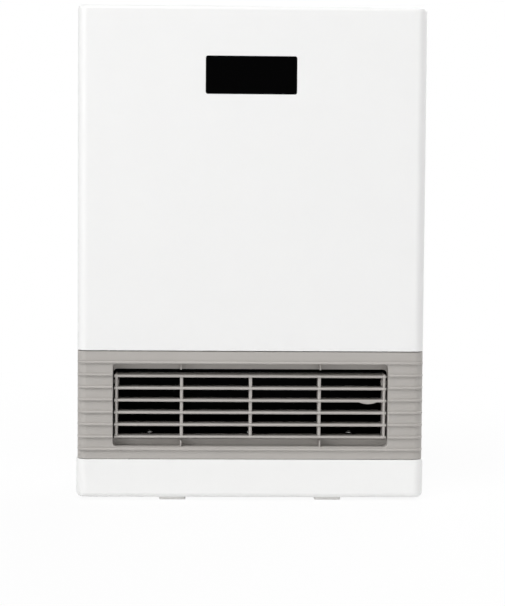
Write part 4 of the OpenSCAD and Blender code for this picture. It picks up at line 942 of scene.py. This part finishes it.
def filter_mesh():
    """Net of upright threads with the level ones behind them."""
    x0, x1, y0, y1, z0, z1 = NET
    shape = Shape()
    r = THREAD_R
    middle, off = (y0 + y1) / 2, r * THREAD_OFF
    for i in range(int((x1 - x0) / NET_PITCH) + 1):
        thread = outline(disc(x0 + r + i * NET_PITCH, middle - off, r, THREAD_SIDES))
        shape.slab(level, thread, z0, z1, 0)
    for i in range(int((z1 - z0) / NET_PITCH) + 1):
        thread = outline(disc(middle + off, z0 + r + i * NET_PITCH, r, THREAD_SIDES))
        shape.slab(sideways, thread, x0, x1, 0)
    piece("filter_mesh", shape, "filter", "black_plastic", ["filter_mesh"])


def pan_head(shape, x, y, z, r):
    """Domed screw head on a face at z, with a round dimple where its cross slot is."""
    dome = 0.65 * HEAD_H
    foot_r, foot_h = 0.96 * r, 0.15
    dimple_r, dimple_h = 0.3 * r, 0.985 * HEAD_H
    floor_r, floor_h, point_h = 0.2 * r, 0.6 * HEAD_H, 0.55 * HEAD_H
    profile = [(foot_r, z), (r, z + foot_h), (r, z + HEAD_H - dome)]
    profile += [(r * math.cos(a), z + HEAD_H - dome + dome * math.sin(a))
                for a in quarter(BEND_STEPS)][1:-1]
    profile += [(dimple_r, z + dimple_h), (floor_r, z + floor_h), (POINT_R, z + point_h)]
    shape.lathe(level, x, y, profile, steps=28)


def duct_screws():
    """Three pan heads on the floor of the duct, with their shanks."""
    x0, x1, y0, y1, z0, z1 = span("duct_screws")
    r, y = (y1 - y0) / 2, (y0 + y1) / 2
    seat = z1 - HEAD_H
    shape = Shape()
    for x in (x0 + r, 0, x1 - r):
        pan_head(shape, x, y, seat, r)
        shape.lathe(level, x, y, [(SHANK_R, z0), (SHANK_R, seat)], steps=16)
    piece("duct_screws", shape, "housing", "steel_bar", ["duct_screws"])


def finish_cad():
    """Gives each CAD node that no piece stands for its material and soft edges."""
    # The duct gets its black paint darkened further into painted shade for its deep inside.
    special = {"outlet_duct": duct_black_and_painted_shade()}
    for part in frame["record"]["subparts"]:
        name = part["node"]
        if name in covered:
            continue
        obj = frame["nodes"][name]
        for slot in obj.material_slots:
            slot.material = special.get(name, finishes[part["material_slot"]])
        smooth(obj, CAD_EDGE, weld=True)


# Studio, in metres and watts

# Lowest and highest shade of the floor, and the distances between which it turns white
FLOOR_SHADES = 0.9, 0.92
FLOOR_FADE = 0.35, 1.1
FLOOR_HALF = 8
# Name, place, point it looks at, width and height, power
LAMPS = (("key", (-2.8, -2.3, 0.9), (0, 0, 0.2), (1.4, 1.6), 27),
         ("top", (-0.8, -2.6, 4.1), (0, 0, 0.1), (2.7, 2.7), 152),
         ("low", (0.3, -2.2, 0.14), (0, 0, 0.1), (2.2, 0.22), 1.6),
         ("side", (2.4, 0.6, 1), (0, 0, 0.25), (1.8, 1.4), 14),
         ("back", (0.9, 2.4, 1.4), (0, 0, 0.25), (1.6, 1.6), 36))


def lamp(name, place, target, size, power):
    """Soft rectangular lamp that looks at a point."""
    data = bpy.data.lights.new(name, "AREA")
    data.shape = "RECTANGLE"
    data.size, data.size_y = size
    data.energy = power
    obj = bpy.data.objects.new(name, data)
    obj.location = place
    obj.rotation_mode = "QUATERNION"
    obj.rotation_quaternion = (Vector(target) - Vector(place)).to_track_quat("-Z", "Y")
    bpy.context.scene.collection.objects.link(obj)


def seen_or_mirrored(tree):
    """1 for what the camera sees, straight or in metal and glass, else 0."""
    rays = node(tree, "LightPath")
    seen = rays.outputs["Is Camera Ray"]
    for name in ("Is Glossy Ray", "Is Transmission Ray"):
        either = node(tree, "Math", operation="MAXIMUM")
        tree.links.new(seen, either.inputs[0])
        tree.links.new(rays.outputs[name], either.inputs[1])
        seen = either.outputs[0]
    return seen


def world(strength):
    """White where the camera sees it, softer where it lights the object."""
    made = bpy.data.worlds.new("studio")
    bpy.context.scene.world = made
    made.use_nodes = True
    tree = made.node_tree
    soft = tree.nodes["Background"]
    soft.inputs["Color"].default_value = (1, 1, 1, 1)
    soft.inputs["Strength"].default_value = strength
    white = node(tree, "Background", Strength=1)
    white.inputs["Color"].default_value = (1, 1, 1, 1)
    mix = node(tree, "MixShader")
    tree.links.new(seen_or_mirrored(tree), mix.inputs[0])
    tree.links.new(soft.outputs[0], mix.inputs[1])
    tree.links.new(white.outputs[0], mix.inputs[2])
    tree.links.new(mix.outputs[0], tree.nodes["World Output"].inputs["Surface"])


def floor_paint(white_share):
    """Pale floor that keeps a soft shadow near the object and turns white farther out."""
    made, tree, shader = new_material("studio_floor")
    place = object_place(tree)
    low, high = [(shade,) * 3 for shade in FLOOR_SHADES]
    clouds = spread(tree, noise(tree, place, scale=6, detail=3), 0, 1)
    tone = two_tone(tree, clouds, low, high)
    tree.links.new(tone, shader.inputs["Base Color"])
    shader.inputs["Roughness"].default_value = 0.9
    shader.inputs["Specular IOR Level"].default_value = 0.1
    glow = node(tree, "Emission", Strength=1)
    reach = node(tree, "VectorMath", operation="LENGTH")
    tree.links.new(place, reach.inputs[0])
    fade = node(tree, "MapRange", interpolation_type="SMOOTHSTEP")
    fade.inputs["From Min"].default_value = FLOOR_FADE[0]
    fade.inputs["From Max"].default_value = FLOOR_FADE[1]
    fade.inputs["To Min"].default_value = white_share
    tree.links.new(reach.outputs["Value"], fade.inputs["Value"])
    share = node(tree, "Math", operation="MULTIPLY")
    tree.links.new(seen_or_mirrored(tree), share.inputs[0])
    tree.links.new(fade.outputs["Result"], share.inputs[1])
    mix = node(tree, "MixShader")
    tree.links.new(share.outputs[0], mix.inputs[0])
    tree.links.new(shader.outputs[0], mix.inputs[1])
    tree.links.new(glow.outputs[0], mix.inputs[2])
    tree.links.new(mix.outputs[0], tree.nodes["Material Output"].inputs["Surface"])
    return made


def floor(white_share):
    """Wide square that the object stands on, which is no part of it."""
    half = FLOOR_HALF
    corners = [(-half, -half, 0), (half, -half, 0), (half, half, 0), (-half, half, 0)]
    mesh = bpy.data.meshes.new("studio_floor")
    mesh.from_pydata(corners, [], [(0, 1, 2, 3)])
    mesh.materials.append(floor_paint(white_share))
    obj = bpy.data.objects.new("studio_floor", mesh)
    bpy.context.scene.collection.objects.link(obj)


def camera():
    """The photograph's view, fitted to the corners and edges that it shows.

    Distance and target are in mm, angles in degrees, and focal length and shift in pixels of
    the photograph, whose longer side is its height.
    """
    distance = 1800
    target = Vector((-0.1, -75, 201.45))
    turn, tilt, roll = [math.radians(angle) for angle in (-1.891, 3.679, 0.434)]
    photo_h = 606
    focal = 1852.5
    shift_x, shift_y = 1.11, -8.24
    back = Vector((math.sin(turn) * math.cos(tilt), -math.cos(turn) * math.cos(tilt),
                   math.sin(tilt)))
    right = (-back).cross(Vector((0, 0, 1))).normalized()
    up = right.cross(-back)
    across = right * math.cos(roll) + up * math.sin(roll)
    over = up * math.cos(roll) - right * math.sin(roll)
    data = bpy.data.cameras.new("camera")
    data.sensor_fit = "AUTO"
    data.sensor_width = 36
    data.lens = focal * data.sensor_width / photo_h
    data.shift_x = shift_x / photo_h
    data.shift_y = shift_y / photo_h
    obj = bpy.data.objects.new("camera", data)
    turned = Matrix((across, over, back)).transposed().to_4x4()
    obj.matrix_world = Matrix.Translation((target + back * distance) * MM) @ turned
    bpy.context.scene.collection.objects.link(obj)
    bpy.context.scene.camera = obj


camera()
world(strength=0.16)
floor(white_share=0.93)
for values in LAMPS:
    lamp(*values)

front_panel()
display_window()
outlet_surround()
louvre()
base_tray()
base_feet()
rear_cover()
top_cover()
control_fascia()
for label, (button_x, button_r) in BUTTONS.items():
    push_button(label, button_x, button_r, "white_plastic" if label == "power" else "grey_plastic")
filter_frame()
filter_mesh()
duct_screws()
finish_cad()

bpy.context.scene.view_settings.view_transform = "Standard"
